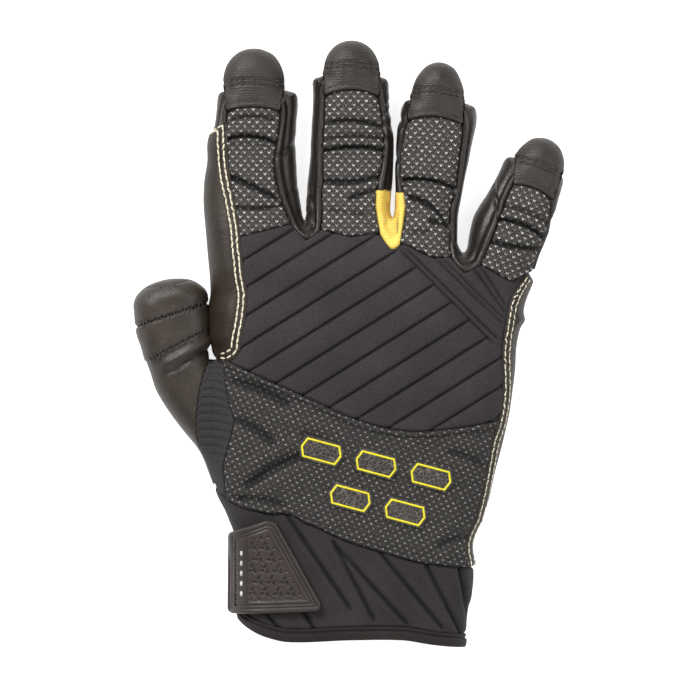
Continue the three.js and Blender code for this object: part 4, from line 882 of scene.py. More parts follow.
knuckle_points = spot(*np.array(KNUCKLE_SEAM).T)
back_seam, cuff_seam, palm_seam, mouth = (seam_height(t) for t in (BACK_SEAM, CUFF_SEAM, PALM_SEAM, MOUTH))
(patch_out,) = columns(PATCH_EDGE, HAND_WIDTH)
(strip_depth,) = columns(STRIP_DEPTH, HAND_WIDTH)
gusset_left, gusset_right = columns(GUSSET, HAND_WIDTH)


def knuckle_seam(x):
    """Seam under the finger backs: straight between its corners."""
    return np.interp(x, knuckle_points[:, 0], knuckle_points[:, 1])


def patch_line(y):
    return patch_out(up_of(y))


def strip_line(y):
    up = up_of(y)
    return little_out(up) - strip_depth(up)


def gusset_left_line(y):
    return gusset_left(up_of(y))


def gusset_right_line(y):
    return gusset_right(up_of(y))


def gusset_top(x):
    return np.full_like(x, rise(GUSSET_TOP))


def seam_grid(left, right, bottom, top, nu, nv):
    """Plan grid between four seams, found by going round the two equations a few times."""
    u, v = np.meshgrid(steps(nu), steps(nv))
    x, y = np.zeros_like(u), np.full_like(u, 90.0)
    for _ in range(ROUNDS):
        y = mix(bottom(x) - TUCK, top(x) + TUCK, v)
        x = mix(left(y) - TUCK, right(y) + TUCK, u)
    return plan(x, y), v


def crease(distance, depth, width):
    """A sharp valley with a soft swelling on both sides of it."""
    valley = -depth * peak(distance, width)
    return valley + 0.3 * depth * peak(np.abs(distance) - 2.6 * width, (1.6 * width))


def line_distance(points, a, b):
    """Distance to the straight line through a and b, and how far along it each point is (0 to 1)."""
    a, b = np.asarray(a, float), np.asarray(b, float)
    along = b - a
    length = np.linalg.norm(along)
    to = points - a
    return (to[..., 0] * along[1] - to[..., 1] * along[0]) / length, (to @ along) / length**2


# %% [markdown]
# ## Ribbed neoprene over the knuckles
# Thin pressed grooves split the foam into soft ribs that rise to the little finger's side and stop
# at a slanted line; past it a few grooves run the other way. The relief is a height for every grid
# point: a pillow between grooves and a sharp valley in each groove.


# %% Back panel
RIB_PITCH, RIB_RISE, RIB_START = 8.7, math.radians(32), (-0.342, 0.915)
RIB_STOP = (0.142, 0.968, 0.45, 0.62)
COUNTER_GROOVES = [
    (0.142, 0.975, 0.455, 0.615), (0.155, 0.985, 0.47, 0.63), (0.236, 0.96, 0.48, 0.69),
    (0.25, 0.97, 0.485, 0.705),
    (0.38, 0.9, 0.486, 0.73), (0.4, 0.91, 0.49, 0.75),
]


def share_line(points, line):
    """Line distance for a line given by its two ends as shares of the hand."""
    return line_distance(points, spot(*line[:2]), spot(*line[2:]))


def rib_relief(points):
    """A pillow between each two grooves: the height of a flat arc over half a pitch."""
    x, y = np.moveaxis(points - spot(*RIB_START), -1, 0)
    ribs = smooth((share_line(points, RIB_STOP)[0] + 1.2) / 2.4)
    phase = (math.tan(RIB_RISE) * x - y) * math.cos(RIB_RISE) / RIB_PITCH
    off = (phase - np.round(phase)) * RIB_PITCH
    pillow = np.sqrt(np.clip(1 - ((RIB_PITCH / 2 - np.abs(off)) / 4.6) ** 2, 0, 1))
    relief = (0.9 * pillow - 0.7 * peak(off, 0.45) - 0.3) * ribs
    for groove in COUNTER_GROOVES:
        d, k = share_line(points, groove)
        relief += crease(d, 0.7, 0.5) * smooth(k * 12) * smooth((1 - k) * 12)
    return relief


def sewn_edge(distance, sink=0.9, width=0.5):
    """The last half millimetre of a sewn edge turns down into the seam."""
    return -sink * peak(distance, width)


xy, _ = seam_grid(patch_line, strip_line, back_seam, knuckle_seam, 245, 185)
points, normals = skin(xy)
relief = rib_relief(xy) + sewn_edge(edge_distance(points), 1.0, 0.7) + 0.15 * ripple(xy, 14, 1)
panel("ribbed_back", points, normals, relief, neoprene, NEOPRENE_WALL, nodes=("back_panel",))


# %% [markdown]
# ## Mesh panel on the back of the hand
# The mesh is turned under along its top and bottom edge, which makes a thin hem with a shadow line.
# Painted shade from the fold attribute darkens that line as well.


# %% Hand mesh
def hem(distance, height=0.4, width=1.3):
    """A folded edge: a flat thicker strip with a small step where it ends."""
    return height * smooth((width + 0.35 - distance) / 0.35) - 1.0 * peak(distance, 0.4)


# From and to as shares of the hand, then depth and width in millimetres
HAND_FOLDS = [
    (-0.38, 0.5, -0.18, 0.4, 1.6, 1.9), (-0.37, 0.365, -0.23, 0.265, 1.3, 1.7),
    (-0.33, 0.12, -0.13, 0.24, 1.9, 1.9), (-0.36, 0.08, -0.2, 0.055, 0.9, 1.5),
    (-0.16, 0.32, -0.02, 0.22, 0.7, 2.2), (0.3, 0.25, 0.43, 0.18, 0.9, 1.7),
    (0.27, -0.2, 0.38, -0.12, 0.8, 1.6),
]
FOLD_BOW = 1.3
xy, _ = seam_grid(gusset_right_line, strip_line, cuff_seam, back_seam, 230, 150)
points, normals = skin(xy)
run = arc_lengths(points, 0)
relief = 0.35 + hem(run[-1:] - run, 0.7, 1.7) + hem(run, 0.6, 2.2)
relief += sewn_edge(edge_distance(points, ends=False))
relief += 0.3 * ripple(xy, 17, 3) + 0.15 * ripple(xy, 7, 5)
for *line, depth, width in HAND_FOLDS:
    d, k = share_line(xy, line)
    d = d + FOLD_BOW * np.sin(np.clip(k, 0, 1) * math.pi)
    relief += crease(d, depth, width) * smooth(k * 4 + 0.4) * smooth((1.1 - k) * 3)
panel("hand_mesh", points, normals, relief, hand_mesh, MESH_WALL, nodes=("hand_mesh_panel",))

# %% Thumb gusset
xy, v = seam_grid(gusset_left_line, gusset_right_line, cuff_seam, gusset_top, 40, 220)
points, normals = skin(xy)
ribs = np.abs(np.cos(arc_lengths(points, 0) * math.pi / GUSSET_PITCH)) ** 0.6
relief = (0.55 * ribs - 0.2) * smooth((v - 0.12) / 0.2) + sewn_edge(edge_distance(points))
panel("thumb_gusset_knit", points, normals, relief, gusset_knit, NEOPRENE_WALL,
      nodes=("thumb_gusset",))


# %% [markdown]
# ## Backs of the fingers
# The mesh on each finger creases where the finger bends. Each crease is one row of a table: place
# along the finger, depth, how much it rises from left to right, its bow, and where it starts and ends.

# %% Finger backs
FOLDS = {
    "index": [
        (0.505, 2.1, -1.5, 1.8, 0, 1, 0.75), (0.468, 0.5, -1.5, 1.8, 0, 1, 0.4),
        (0.605, 0.9, 0, 2.2, 0.1, 0.9, 0.9),
        (0.26, 1.9, -9, 0.5, 0.05, 0.95, 1.3), (0.17, 1.0, 1, -1, 0, 1, 0.7),
    ],
    "middle": [
        (0.565, 1.4, -1, 1.6, 0.05, 1, 0.9), (0.44, 2.0, 0.5, 1.2, 0, 1, 0.7),
        (0.408, 0.6, 0.5, 1.2, 0, 1, 0.4),
        (0.3, 1.5, 1.5, -1.4, 0, 1, 1.2), (0.495, 0.6, 0.5, 1.2, 0, 1, 0.8), (0.2, 1.2, 7, 0, 0.5, 1, 1.2),
        (0.13, 0.5, -2, 0, 0.1, 0.8, 1.2),
    ],
    "ring": [
        (0.345, 2.0, -1.6, 1.6, 0, 1, 0.7), (0.312, 0.6, -1.6, 1.6, 0, 1, 0.4),
        (0.205, 2.0, -9, 2.4, 0.1, 0.9, 1.0),
        (0.16, 1.5, -3, 0, 0.55, 1, 1.1), (0.1, 0.5, 3, 0, 0.1, 0.6, 1.2),
    ],
    "little": [
        (0.33, 2.0, -0.5, 1.4, 0, 1, 0.75), (0.21, 1.7, 4, -1, 0, 1, 1.0), (0.43, 0.7, 0, 1.2, 0, 1, 0.9),
    ],
}
BACK_CORNERS = {"index": (0, 1), "middle": (3, 4, 5), "ring": (7, 8, 9), "little": (11, 12, 13)}
PINCH = {"middle": (0.0, 0.9), "ring": (1.3, 0.0)}


def pinched(at):
    """How far the meshes beside the yellow gusset close in on it: 1 at its foot, 0 further up."""
    return np.clip((0.19 - np.asarray(at)) / 0.15, 0, 1) ** 1.6


def finger_back_grid(finger, corners, nu, nv):
    """Grid on a finger's back, from the knuckle seam to the arched cap seam."""
    at_corner, aside_corner = finger.local(knuckle_points[list(corners)])
    u, v = np.meshgrid(steps(nu), steps(nv))
    aside, at = np.zeros_like(u), np.zeros_like(u)
    more_left, more_right = PINCH.get(finger.name, (0.0, 0.0))
    for _ in range(ROUNDS):
        low = np.interp(aside, aside_corner, at_corner) - TUCK / finger.reach
        high = finger.seam + finger.arch * arched(u) + 0.6 / finger.reach
        at = mix(low, high, v)
        left = -finger.seam_left(at) - TUCK - more_left * pinched(at)
        aside = mix(left, finger.seam_right(at) + TUCK + more_right * pinched(at), u)
    return finger.place(at, aside), u, at, aside


for name, finger in fingers.items():
    xy, u, at, aside = finger_back_grid(finger, BACK_CORNERS[name], 60, 110)
    points, normals = skin(xy)
    run = arc_lengths(points, 0)
    relief = 0.2 + hem(run, 0.45, 2.2) + sewn_edge(edge_distance(points, ends=False), 0.9, 0.6)
    relief += 0.28 * ripple(xy, 9, 7) + 0.4 * np.sin(math.pi * u) - 1.5 * peak(run[-1:] - run, 1.5)
    for where, depth, lift, arch, start, end, width in FOLDS[name]:
        middle = where * finger.reach + lift * (u - 0.5) + arch * arched(u)
        window = smooth((u - start + 0.08) / 0.16) * smooth((end + 0.08 - u) / 0.16)
        relief += crease(at * finger.reach - middle, depth, width) * window
    cloth = plan(aside, at * finger.reach)
    panel(f"{name}_back_mesh", points, normals, relief, finger_mesh, MESH_WALL,
          cloth, (f"{name}_back",))


# %% [markdown]
# ## Leather between the fingers
# Strips of soft leather join back and palm. Down one finger's side, round the crotch and up the next
# one's side, each strip runs from under the outline up to the seam with the back, where its edge is
# rolled. Every cross section is a straight line in plan that the skin bends round the roll.


# %% Strips
def pulled(base, seam, gap):
    span = np.linalg.norm(seam - base, axis=-1, keepdims=True)
    return mix(base, seam, np.maximum(0.2, 1 - gap / np.maximum(span, 1e-6)))


def under_edge(base, angle=PALM_EDGE):
    _, away, roll = nearest(base)
    return base + away * (roll * (1 - math.cos(angle)))[..., None]


def strip_grid(base, seam, under=None, below=10, above=26, gap=-TUCK):
    """Sections from under the outline, over it, to the seam; spaced closer near the outline."""
    under = under_edge(base) if under is None else under
    top = pulled(base, seam, gap)
    lower = [mix(base, under, k) for k in steps(below)[:0:-1]]
    upper = [mix(base, top, 1 - math.cos(k * math.pi / 2)) for k in steps(above)]
    p_low, n_low = skin(np.stack(lower, axis=1), -1)
    p_up, n_up = skin(np.stack(upper, axis=1), 1)
    return np.concatenate([p_low, p_up], axis=1), np.concatenate([n_low, n_up], axis=1)


EAR_ROUND = 2.6


def ear_lines(finger, sign, start, count=70):
    """Base, seam and under line up a finger's side; the end closes in under the cap as an ear."""
    side = finger.left if sign < 0 else finger.right
    seam = finger.seam_left if sign < 0 else finger.seam_right
    cap = finger.cap_left if sign < 0 else finger.cap_right
    turn = EAR_ROUND / finger.reach
    k, angle = steps(count), steps(12)[1:] * math.pi / 2
    at = mix(start, finger.ear - turn, k)
    seam_at = mix(start, finger.seam - 0.02, k)
    base, top = finger.place(at, sign * side(at)), finger.place(seam_at, sign * seam(seam_at))
    width = side(finger.ear)
    corner_aside = width - EAR_ROUND * (1 - np.cos(angle))
    corner = finger.place(finger.ear - turn * (1 - np.sin(angle)), sign * corner_aside)
    flat = finger.place(mix(finger.ear, finger.ear + 0.01, steps(6)[1:]),
                        sign * mix(width - EAR_ROUND, min(cap, width - EAR_ROUND) - 0.6, steps(6)[1:]))
    depth = FINGER_ROLL * (1 - math.cos(PALM_EDGE))
    outward = finger.side * sign * np.cos(angle)[:, None] + finger.axis * np.sin(angle)[:, None]
    under = corner - depth * outward
    under = np.concatenate([under_edge(base), under, flat - depth * finger.axis])
    rest = mix(finger.seam - 0.02, finger.seam + 0.03, steps(len(angle) + len(flat))[1:])
    top = np.concatenate([top, finger.place(rest, sign * (seam(finger.seam) + 0 * rest))])
    return np.concatenate([base, corner, flat]), top, under


def crotch_lines(line, corner, count=60, pinch=(0.0, 0.0)):
    """Round a crotch: the seam passes three corners of the knuckle seam, the lowest one rounded."""
    k = mix(0.04, 0.96, steps(count))
    corners = knuckle_points[corner:corner + 3] + np.array([(pinch[0], 0), (0, 0), (-pinch[1], 0)])
    sharp = plan(np.interp(k, [0, 0.5, 1], corners[:, 0]), np.interp(k, [0, 0.5, 1], corners[:, 1]))
    return line(k), mix(sharp, bow(*corners)(k), 0.75), under_edge(line(k))


def down(lines):
    return tuple(part[::-1] for part in lines)


def joined(*parts):
    return tuple(np.concatenate(group) for group in zip(*parts))


def side_relief(points, seed, wrinkles):
    """A piped edge along the seam, a soft hollow beside it and a few cross wrinkles."""
    from_seam = to_seam(points)
    roll = 0.8 * peak(from_seam - 1.7, 1.15) + sewn_edge(from_seam, 1.0, 0.55)
    hollow = -0.45 * peak(from_seam - 4.3, 1.2)
    along = arc_lengths(points, 0)
    rng = np.random.default_rng(seed)
    marks = np.zeros_like(along)
    for place in rng.uniform(8, max(along.max() - 6, 9), wrinkles):
        marks += crease(along - place - 0.4 * (from_seam - 3), rng.uniform(0.2, 0.6), rng.uniform(0.8, 1.4))
    return roll + hollow + marks + 0.06 * ripple(points[..., :2], 9, seed)


index, middle, ring, little = fingers.values()
STRIPS = {
    "index_middle_side": joined(
        down(ear_lines(index, 1, 0.13)), crotch_lines(crotches[0], 1), ear_lines(middle, -1, 0.13)),
    "ring_little_side": joined(
        down(ear_lines(ring, 1, 0.06)), crotch_lines(crotches[2], 9), ear_lines(little, -1, 0.08)),
    "middle_side": down(ear_lines(middle, 1, 0.245)),
    "ring_side": ear_lines(ring, -1, 0.295),
    "little_outer_side": ear_lines(little, 1, 0.1),
    "index_outer_side": ear_lines(index, -1, 0.57, 30),
}
WRINKLES = (5, 1, 3, 3, 2, 0)
for i, (name, lines) in enumerate(STRIPS.items()):
    points, normals = strip_grid(*lines)
    relief = side_relief(points, 20 + i, WRINKLES[i])
    panel(f"{name}_leather", points, normals, relief, glossy_leather, nodes=(name,))

# %% Yellow crotch gusset
by_middle, by_ring = PINCH["middle"][1], PINCH["ring"][0]


def gusset_leg(finger, at, sign, edge, seam, closer):
    """Base, seam and under line of the gusset beside one finger."""
    base = finger.place(at, sign * edge(at))
    return base, finger.place(at, sign * (seam(at) + closer * pinched(at))), under_edge(base)


points, normals = strip_grid(*joined(
    gusset_leg(middle, mix(0.25, 0.14, steps(24)), 1, middle.right, middle.seam_right, by_middle),
    crotch_lines(crotches[1], 5, 40, (by_middle, by_ring)),
    gusset_leg(ring, mix(0.21, 0.3, steps(24)), -1, ring.left, ring.seam_left, by_ring),
))
from_seam = to_seam(points)
relief = 0.75 * peak(from_seam - 2.2, 2.2) + sewn_edge(from_seam, 0.9, 0.6)
relief += sewn_edge(edge_distance(points, sides=False), 0.7, 0.5) + 0.2 * ripple(points[..., :2], 5, 4)
panel("yellow_crotch", points, normals, relief, yellow_stretch, nodes=("crotch_gusset",))


# %% [markdown]
# ## Side patch and hand strip
# A leather overlay protects the index finger's side down to the thumb crotch, with two rows of cream
# thread inside its edge. It lies on top of the neoprene, so its edge stands up. A narrower strip
# with the same thread runs down the little finger's side.


# %% Side patch
def patch_lines():
    k = steps(70)
    at = mix(0.6, 0.05, k)
    base_a = index.place(at - 0.035 * (1 - smooth(k * 8)), -index.left(at))
    top_a = index.place(at, -index.seam_left(at))
    ups = mix(0.98, 0.63, steps(110))
    squeeze = np.where(ups > 0.94, 0.94 + (ups - 0.94) * 0.5, ups)
    base_b, top_b = index_side(squeeze), plan(patch_out(ups), rise(ups))
    turn = steps(30)[1:]
    angle = turn * math.pi * 0.62
    centre = spot(-0.395, 0.63)
    start = top_b[-1] - centre
    radius = mix(np.linalg.norm(start), 6.4, turn)
    heading = math.atan2(start[1], start[0])
    top_c = centre + np.stack([np.cos(heading - angle), np.sin(heading - angle)], 1) * radius[:, None]
    base_c = index_side(mix(0.63, 0.6, turn))
    return np.concatenate([base_a, base_b, base_c]), np.concatenate([top_a, top_b, top_c])


def overlay_relief(points, height=0.75):
    """An overlay: raised all over, its edge rounded down to the cloth below."""
    from_edge = to_seam(points)
    edge = np.minimum(from_edge, edge_distance(points, sides=False) + 0.15)
    rows = sum(-0.28 * peak(from_edge - place, 0.45) for place in (1.5, 3.4))
    return height * quarter(edge / 1.0) - 0.5 * peak(edge, 0.3) + rows, from_edge


patch_base, patch_top = patch_lines()
points, normals = strip_grid(patch_base, patch_top, above=34, gap=-1.2)
relief, from_edge = overlay_relief(points)
relief += 0.3 * ripple(points[..., :2], 16, 11) * smooth(edge_distance(points) / 4)
by_thumb = smooth((rise(0.82) - points[..., 1]) / 9) * smooth((points[..., 1] - rise(0.61)) / 5)
relief += 1.4 * by_thumb * smooth((from_edge - 3.5) / 4)
panel("side_patch_leather", points, normals, relief, patch_leather, PATCH_WALL,
      nodes=("index_side_patch",))

# %% Hand strip
ups = mix(0.885, -0.36, steps(220))
strip_top = plan(strip_line(rise(ups)), rise(ups))
strip_base = little_side(np.minimum(ups, 0.851))
points, normals = strip_grid(strip_base, strip_top, above=22, gap=-0.5)
relief, from_edge = overlay_relief(points, 0.55)
bump_at = rise(0.715)
relief += 1.1 * peak(points[..., 1] - bump_at, 2.0) * smooth((from_edge - 3.2) / 2.0)
relief += 0.25 * ripple(points[..., :2], 10, 13) * smooth(edge_distance(points) / 3)
panel("hand_strip_leather", points, normals, relief, patch_leather, nodes=("hand_side_panel",))


# %% [markdown]
# ## Fingertips and thumb
# A tip is a closed cap. Its grid runs round the finger and up to the end: on the back it starts at
# the arched cap seam, under the finger it starts level with the ears. Rows of stitching press small
# valleys into the leather.


# %% Caps
def cap_grid(finger, around=96, rows=64):
    """Ring grid of a fingertip. Angle 0 is the right side, a quarter turn on is the back."""
    angle = np.arange(around) * math.tau / around
    u = (1 - np.cos(angle)) / 2
    back = np.sin(angle) > TINY
    rim_k = np.clip((u - 0.03) / 0.94, 0, 1)
    seam_at = finger.seam + finger.arch * arched(rim_k)
    start = finger.ear + 0.014
    corner = smooth(np.minimum(u, 1 - u) / 0.03)
    low = np.where(back, mix(start, seam_at, corner), start)
    spread = np.concatenate([steps(rows)[:-1], [0.999]])
    v = np.sin(spread * math.pi / 2)[:, None]
    at = mix(low[None], 1.0, v)
    left, right = tip_sides(finger, np.maximum(at, start))
    blend = smooth((at - finger.seam) / (start - finger.seam))
    left = mix(-finger.seam_left(finger.seam) - 0.2, left, blend)
    right = mix(finger.seam_right(finger.seam) + 0.2, right, blend)
    slim = 1 - CAP_SLIM * smooth((at - finger.seam) / (finger.ear - finger.seam))
    aside = mix(right, left, 0.5 + (u[None] - 0.5) * slim)
    return *both_sides(finger.place(at, aside), back), at, u, low


CAP_ROWS = {"index": (0.79, 0.815), "middle": (0.845, 0.868), "ring": (0.815, 0.838), "little": (0.76, 0.79)}


def closed_cap(name, points, normals, relief, material, nodes):
    """Ring grid closed by a pole at its tip; its open edge turns in by the leather's thickness."""
    moved = points + normals * relief[..., None]
    moved = np.concatenate([moved[:1] - normals[:1] * CAP_LIP, moved])
    moved[..., 2] = np.maximum(moved[..., 2], LOWEST)
    rows, cols = moved.shape[:2]
    faces = grid_faces(rows, cols, ring=True)
    last = (rows - 1) * cols + np.arange(cols)
    fan = np.stack([last, np.roll(last, -1), np.full(cols, rows * cols)], axis=1)
    verts = np.concatenate([moved.reshape(-1, 3), moved[-1].mean(0)[None]])
    if inside_out(verts, faces, np.concatenate([normals[:1], normals]).reshape(-1, 3)):
        faces, fan = faces[:, ::-1], fan[:, ::-1]
    # Painted shade: the fold attribute darkens the cap's stitch valleys and sunken edges.
    fold = cavity(relief, ring=True)
    fold = np.append(np.concatenate([fold[:1], fold]), 0)
    return finished(name, verts, [faces, fan], verts[:, :2], material, nodes, fold)


for name, finger in fingers.items():
    points, normals, at, u, low = cap_grid(finger)
    from_low = (at - low[None]) * finger.reach
    relief = 0.45 + 0.35 * peak(from_low, 1.6) - 0.7 * (1 - quarter(from_low / 0.6))
    relief = (relief - 0.2 * peak(from_low - 2.1, 0.4)) * (0.35 + 0.65 * np.abs(normals[..., 2]))
    bend = 1.2 * arched(u[None]) / finger.reach
    for place in CAP_ROWS[name]:
        relief -= 0.35 * peak((at - place - bend) * finger.reach, 0.45) * (normals[..., 2] > 0)
    relief += 0.16 * ripple(points[..., :2], 7, 31) * smooth(from_low / 3)
    relief *= smooth((1 - at) * finger.reach / 2.5)
    closed_cap(f"{name}_cap_leather", points, normals, relief, cap_leather, (f"{name}_tip_cap",))


# %% Thumb
def thumb_grid(low, high, rows, around=96, to_tip=False):
    """Ring grid of the thumb between two slanted lines, given as (left station, right station)."""
    angle = np.arange(around) * math.tau / around
    u = (1 + np.cos(angle)) / 2
    start = mix(low[0], low[1], u)
    stop = mix(high[0], high[1], u)
    v = np.concatenate([steps(rows)[:-1], [0.999 if to_tip else 1.0]])[:, None]
    v = np.sin(v * math.pi / 2) if to_tip else v
    at = mix(start[None], stop[None], v)
    left, right = tip_sides(thumb, at)
    xy = thumb.place(at, mix(left, right, u[None]))
    return *both_sides(xy, np.sin(angle) > -TINY), at, start, stop


band_low = (BAND_LOW - 0.01, BAND_LOW + BAND_SLANT - 0.01)
band_high = (BAND_HIGH, BAND_HIGH + BAND_SLANT / 2)
points, normals, at, start, stop = thumb_grid(band_low, band_high, 40)
reach = thumb.reach
relief = sewn_edge((at - start) * reach, 0.8, 0.6) + sewn_edge((stop - at) * reach, 0.8, 0.6)
relief += 0.25 * ripple(points[..., :2], 8, 41)
panel("thumb_band_leather", points, normals, relief + 0.2, thumb_leather,
      nodes=("thumb_band",), ring=True)

points, normals, at, start, _ = thumb_grid(band_high, (1.0, 1.0), 50, to_tip=True)
relief = 0.25 + sewn_edge((at - start) * reach, 0.8, 0.6) + 0.2 * ripple(points[..., :2], 7, 43)
relief -= 0.3 * peak((1 - at) * reach - 2.2, 0.4) * (normals[..., 2] > 0)
relief *= smooth((1 - at) * reach / 2)
closed_cap("thumb_cap_leather", points, normals, relief, thumb_leather, ("thumb_cap",))

ups = mix(0.13, 0.525, steps(110))
base_a = thumb_side(ups)
top_a = plan(gusset_left(ups + 0.01), rise(ups + 0.01))
k = steps(40)[1:]
at = mix(0.0, BAND_LOW, k)
base_b = thumb.place(at, -thumb.left(at))
inner = mix(0.04, BAND_LOW + BAND_SLANT, np.clip(k * 2 - 1, 0, 1))
round_crotch = thumb_crotch(np.clip(1 - 2 * k, 0, 1))
turned = np.where((k < 0.5)[:, None], round_crotch, thumb.place(inner, thumb.right(inner)))
top_b = mix(top_a[-1], turned, smooth(k * 10)[:, None])
points, normals = strip_grid(np.concatenate([base_a, base_b]), np.concatenate([top_a, top_b]), above=50)
relief = sewn_edge(to_seam(points), 0.8, 0.5) + 0.35 * ripple(points[..., :2], 15, 47)
fold, along = line_distance(points[..., :2], thumb.place(-0.05, -9), thumb.place(0.2, 12))
relief += 1.1 * peak(fold, 1.5) * smooth(along * 3) * smooth((1.3 - along) * 3)
relief += crease(fold - 3.2, 0.5, 0.7) * smooth(along * 3) * smooth((1.2 - along) * 3)
panel("thumb_base_leather", points, normals, relief, thumb_leather, nodes=("thumb_base",))


# %% [markdown]
# ## Cuff and edge tape
# The cuff is a closed sleeve of thin neoprene with slanted pressed grooves. A folded tape covers its
# mouth. Each ring is a line round the wrist, up over the back and down under the palm side.


# %% Cuff
def wrist_grid(back_low, back_high, palm_low, palm_high, rows, around=260):
    angle = np.arange(around) * math.tau / around
    u = (1 + np.cos(angle)) / 2
    back = np.sin(angle) >= -TINY
    v = steps(rows)[:, None]
    x, y = np.zeros((rows + 1, around)), np.full((rows + 1, around), CUFF_LENGTH / 2)
    for _ in range(ROUNDS):
        up = up_of(y)
        x = mix(thumb_side(up)[..., 0], little_side(up)[..., 0], u[None])
        y = np.where(back[None], mix(back_low(x), back_high(x), v), mix(palm_low(x), palm_high(x), v))
    return both_sides(plan(x, y), back)


BIND = 4.4
CUFF_GROOVES = [
    (-0.2, 0.03, 0.01, -0.72), (-0.055, -0.14, 0.08, -0.8), (-0.04, -0.2, 0.19, -0.84),
    (0.092, -0.24, 0.3, -0.88),
    (0.233, -0.33, 0.353, -0.92), (0.34, -0.36, 0.372, -0.8), (-0.17, -0.6, -0.1, -0.9),
    (-0.27, -0.7, -0.2, -0.9),
]
bind_top, tape_top = seam_height(MOUTH, BIND), seam_height(MOUTH, BIND + 0.3)
points, normals = wrist_grid(
    bind_top, seam_height(CUFF_SEAM, TUCK), bind_top, seam_height(PALM_SEAM, TUCK), 100, 420)
relief = sewn_edge(edge_distance(points, sides=False), 0.9, 0.7) + 0.3 * ripple(points[..., :2], 13, 51)
upper = smooth((normals[..., 2] + 0.1) / 0.3)
for groove in CUFF_GROOVES:
    d, k = share_line(points[..., :2], groove)
    relief += crease(d, 1.2, 0.75) * smooth(k * 14 + 0.5) * smooth((1 - k) * 10) * upper
panel("cuff_knit", points, normals, relief, cuff_neoprene, NEOPRENE_WALL,
      nodes=("cuff_sleeve",), ring=True)

# %% Edge tape
points, normals = wrist_grid(mouth, tape_top, mouth, tape_top, 16)
run = arc_lengths(points, 0)
relief = 0.6 * np.sin(np.clip(run / run[-1:], 0, 1) * math.pi) ** 0.5
relief -= 0.7 * peak(run - 3.4, 0.45)
panel("cuff_tape", points, normals, relief, binding_tape, TAPE_WALL,
      nodes=("cuff_binding",), ring=True)


# %% [markdown]
# ## Shapes cut from a fine grid
# The palm, the strap's tab and the pads have outlines that no simple grid follows. For them a
# regular fine grid is made, cells outside the shape are left out, and the points along the cut are
# moved onto it. The shape is given as a distance: positive inside, zero on its edge.


# %% Cut-out grids
PROBE = 0.02


def cut_grid(inside, x_range, y_range, step, *more):
    """Plan points and faces of the part of a fine grid where the distance `inside` is positive.

    A point on the cut moves against the distance's slope until the distance is nearly zero.
    """
    xs, ys = np.arange(*x_range, step), np.arange(*y_range, step)
    xy = plan(*np.meshgrid(xs, ys))
    d = inside(xy, *more)
    cells = grid_faces(*d.shape)
    keep = (d.ravel()[cells] > -0.2 * step).all(1)
    faces = cells[keep]
    used, index_of = np.unique(faces, return_inverse=True)
    flat = xy.reshape(-1, 2)[used]
    faces = index_of.reshape(faces.shape)
    sides = np.concatenate([faces[:, [0, 1]], faces[:, [1, 2]], faces[:, [2, 3]], faces[:, [3, 0]]])
    _, first, count = np.unique(np.sort(sides, axis=1), axis=0, return_index=True, return_counts=True)
    rim = np.unique(sides[first[count == 1]])
    edge = flat[rim]
    for _ in range(3):
        here = inside(edge, *more)
        beside = [inside(edge + aside, *more) - here for aside in ((PROBE, 0), (0, PROBE))]
        slope = np.stack(beside, 1) / PROBE
        size = np.maximum((slope**2).sum(1, keepdims=True), 0.3)
        moved = edge - np.clip(here[:, None] * slope / size, -step, step)
        closer = np.abs(inside(moved, *more)) < np.abs(here)
        edge = np.where(closer[:, None], moved, edge)
    flat[rim] = edge
    return flat, faces


def palm_inside(points):
    """Inside the palm: in from the outline, past the cuff seam, short of finger ends and thumb band."""
    d, _, roll = nearest(points)
    best = np.where(within(points), d, 0) - roll * (1 - math.cos(PALM_EDGE))
    for finger in fingers.values():
        at, aside = finger.local(points)
        near = (np.abs(aside) < 17) & (at > 0.5)
        best = np.where(near, np.minimum(best, (finger.ear + 0.006 - at) * finger.reach), best)
    at, aside = thumb.local(points)
    near = (np.abs(aside) < 17) & (at > -0.2)
    line = BAND_LOW + BAND_SLANT * np.clip((aside + 13) / 26, 0, 1)
    best = np.where(near, np.minimum(best, (line + 0.01 - at) * thumb.reach), best)
    return np.minimum(best, points[..., 1] - palm_seam(points[..., 0]) + TUCK)


xy, faces = cut_grid(palm_inside, (-80, 80), (20, 220), 0.75)
points, normals = skin(xy, -1)
depth = palm_inside(xy)
relief = 0.12 * ripple(xy, 18, 61) * smooth(depth / 5) - 0.3 * peak(depth, 0.5)
for finger in fingers.values():
    at, aside = finger.local(xy)
    for place in (0.12, 0.42):
        relief -= 0.35 * peak((at - place) * finger.reach, 0.7) * (np.abs(aside) < 17)
relief = np.where(normals[:, 2] < -0.9, np.minimum(relief, 0), relief)
piece("palm_leather_panel", points + normals * relief[:, None], faces, normals, palm_leather,
      nodes=("palm_panel",))


# %% [markdown]
# ## Strap and tab
# The strap comes round the thumb side of the wrist and ends in a moulded rubber tab: a plate with a
# double rim, a row of stitches by its left edge and a field of small pressed three-pointed marks.


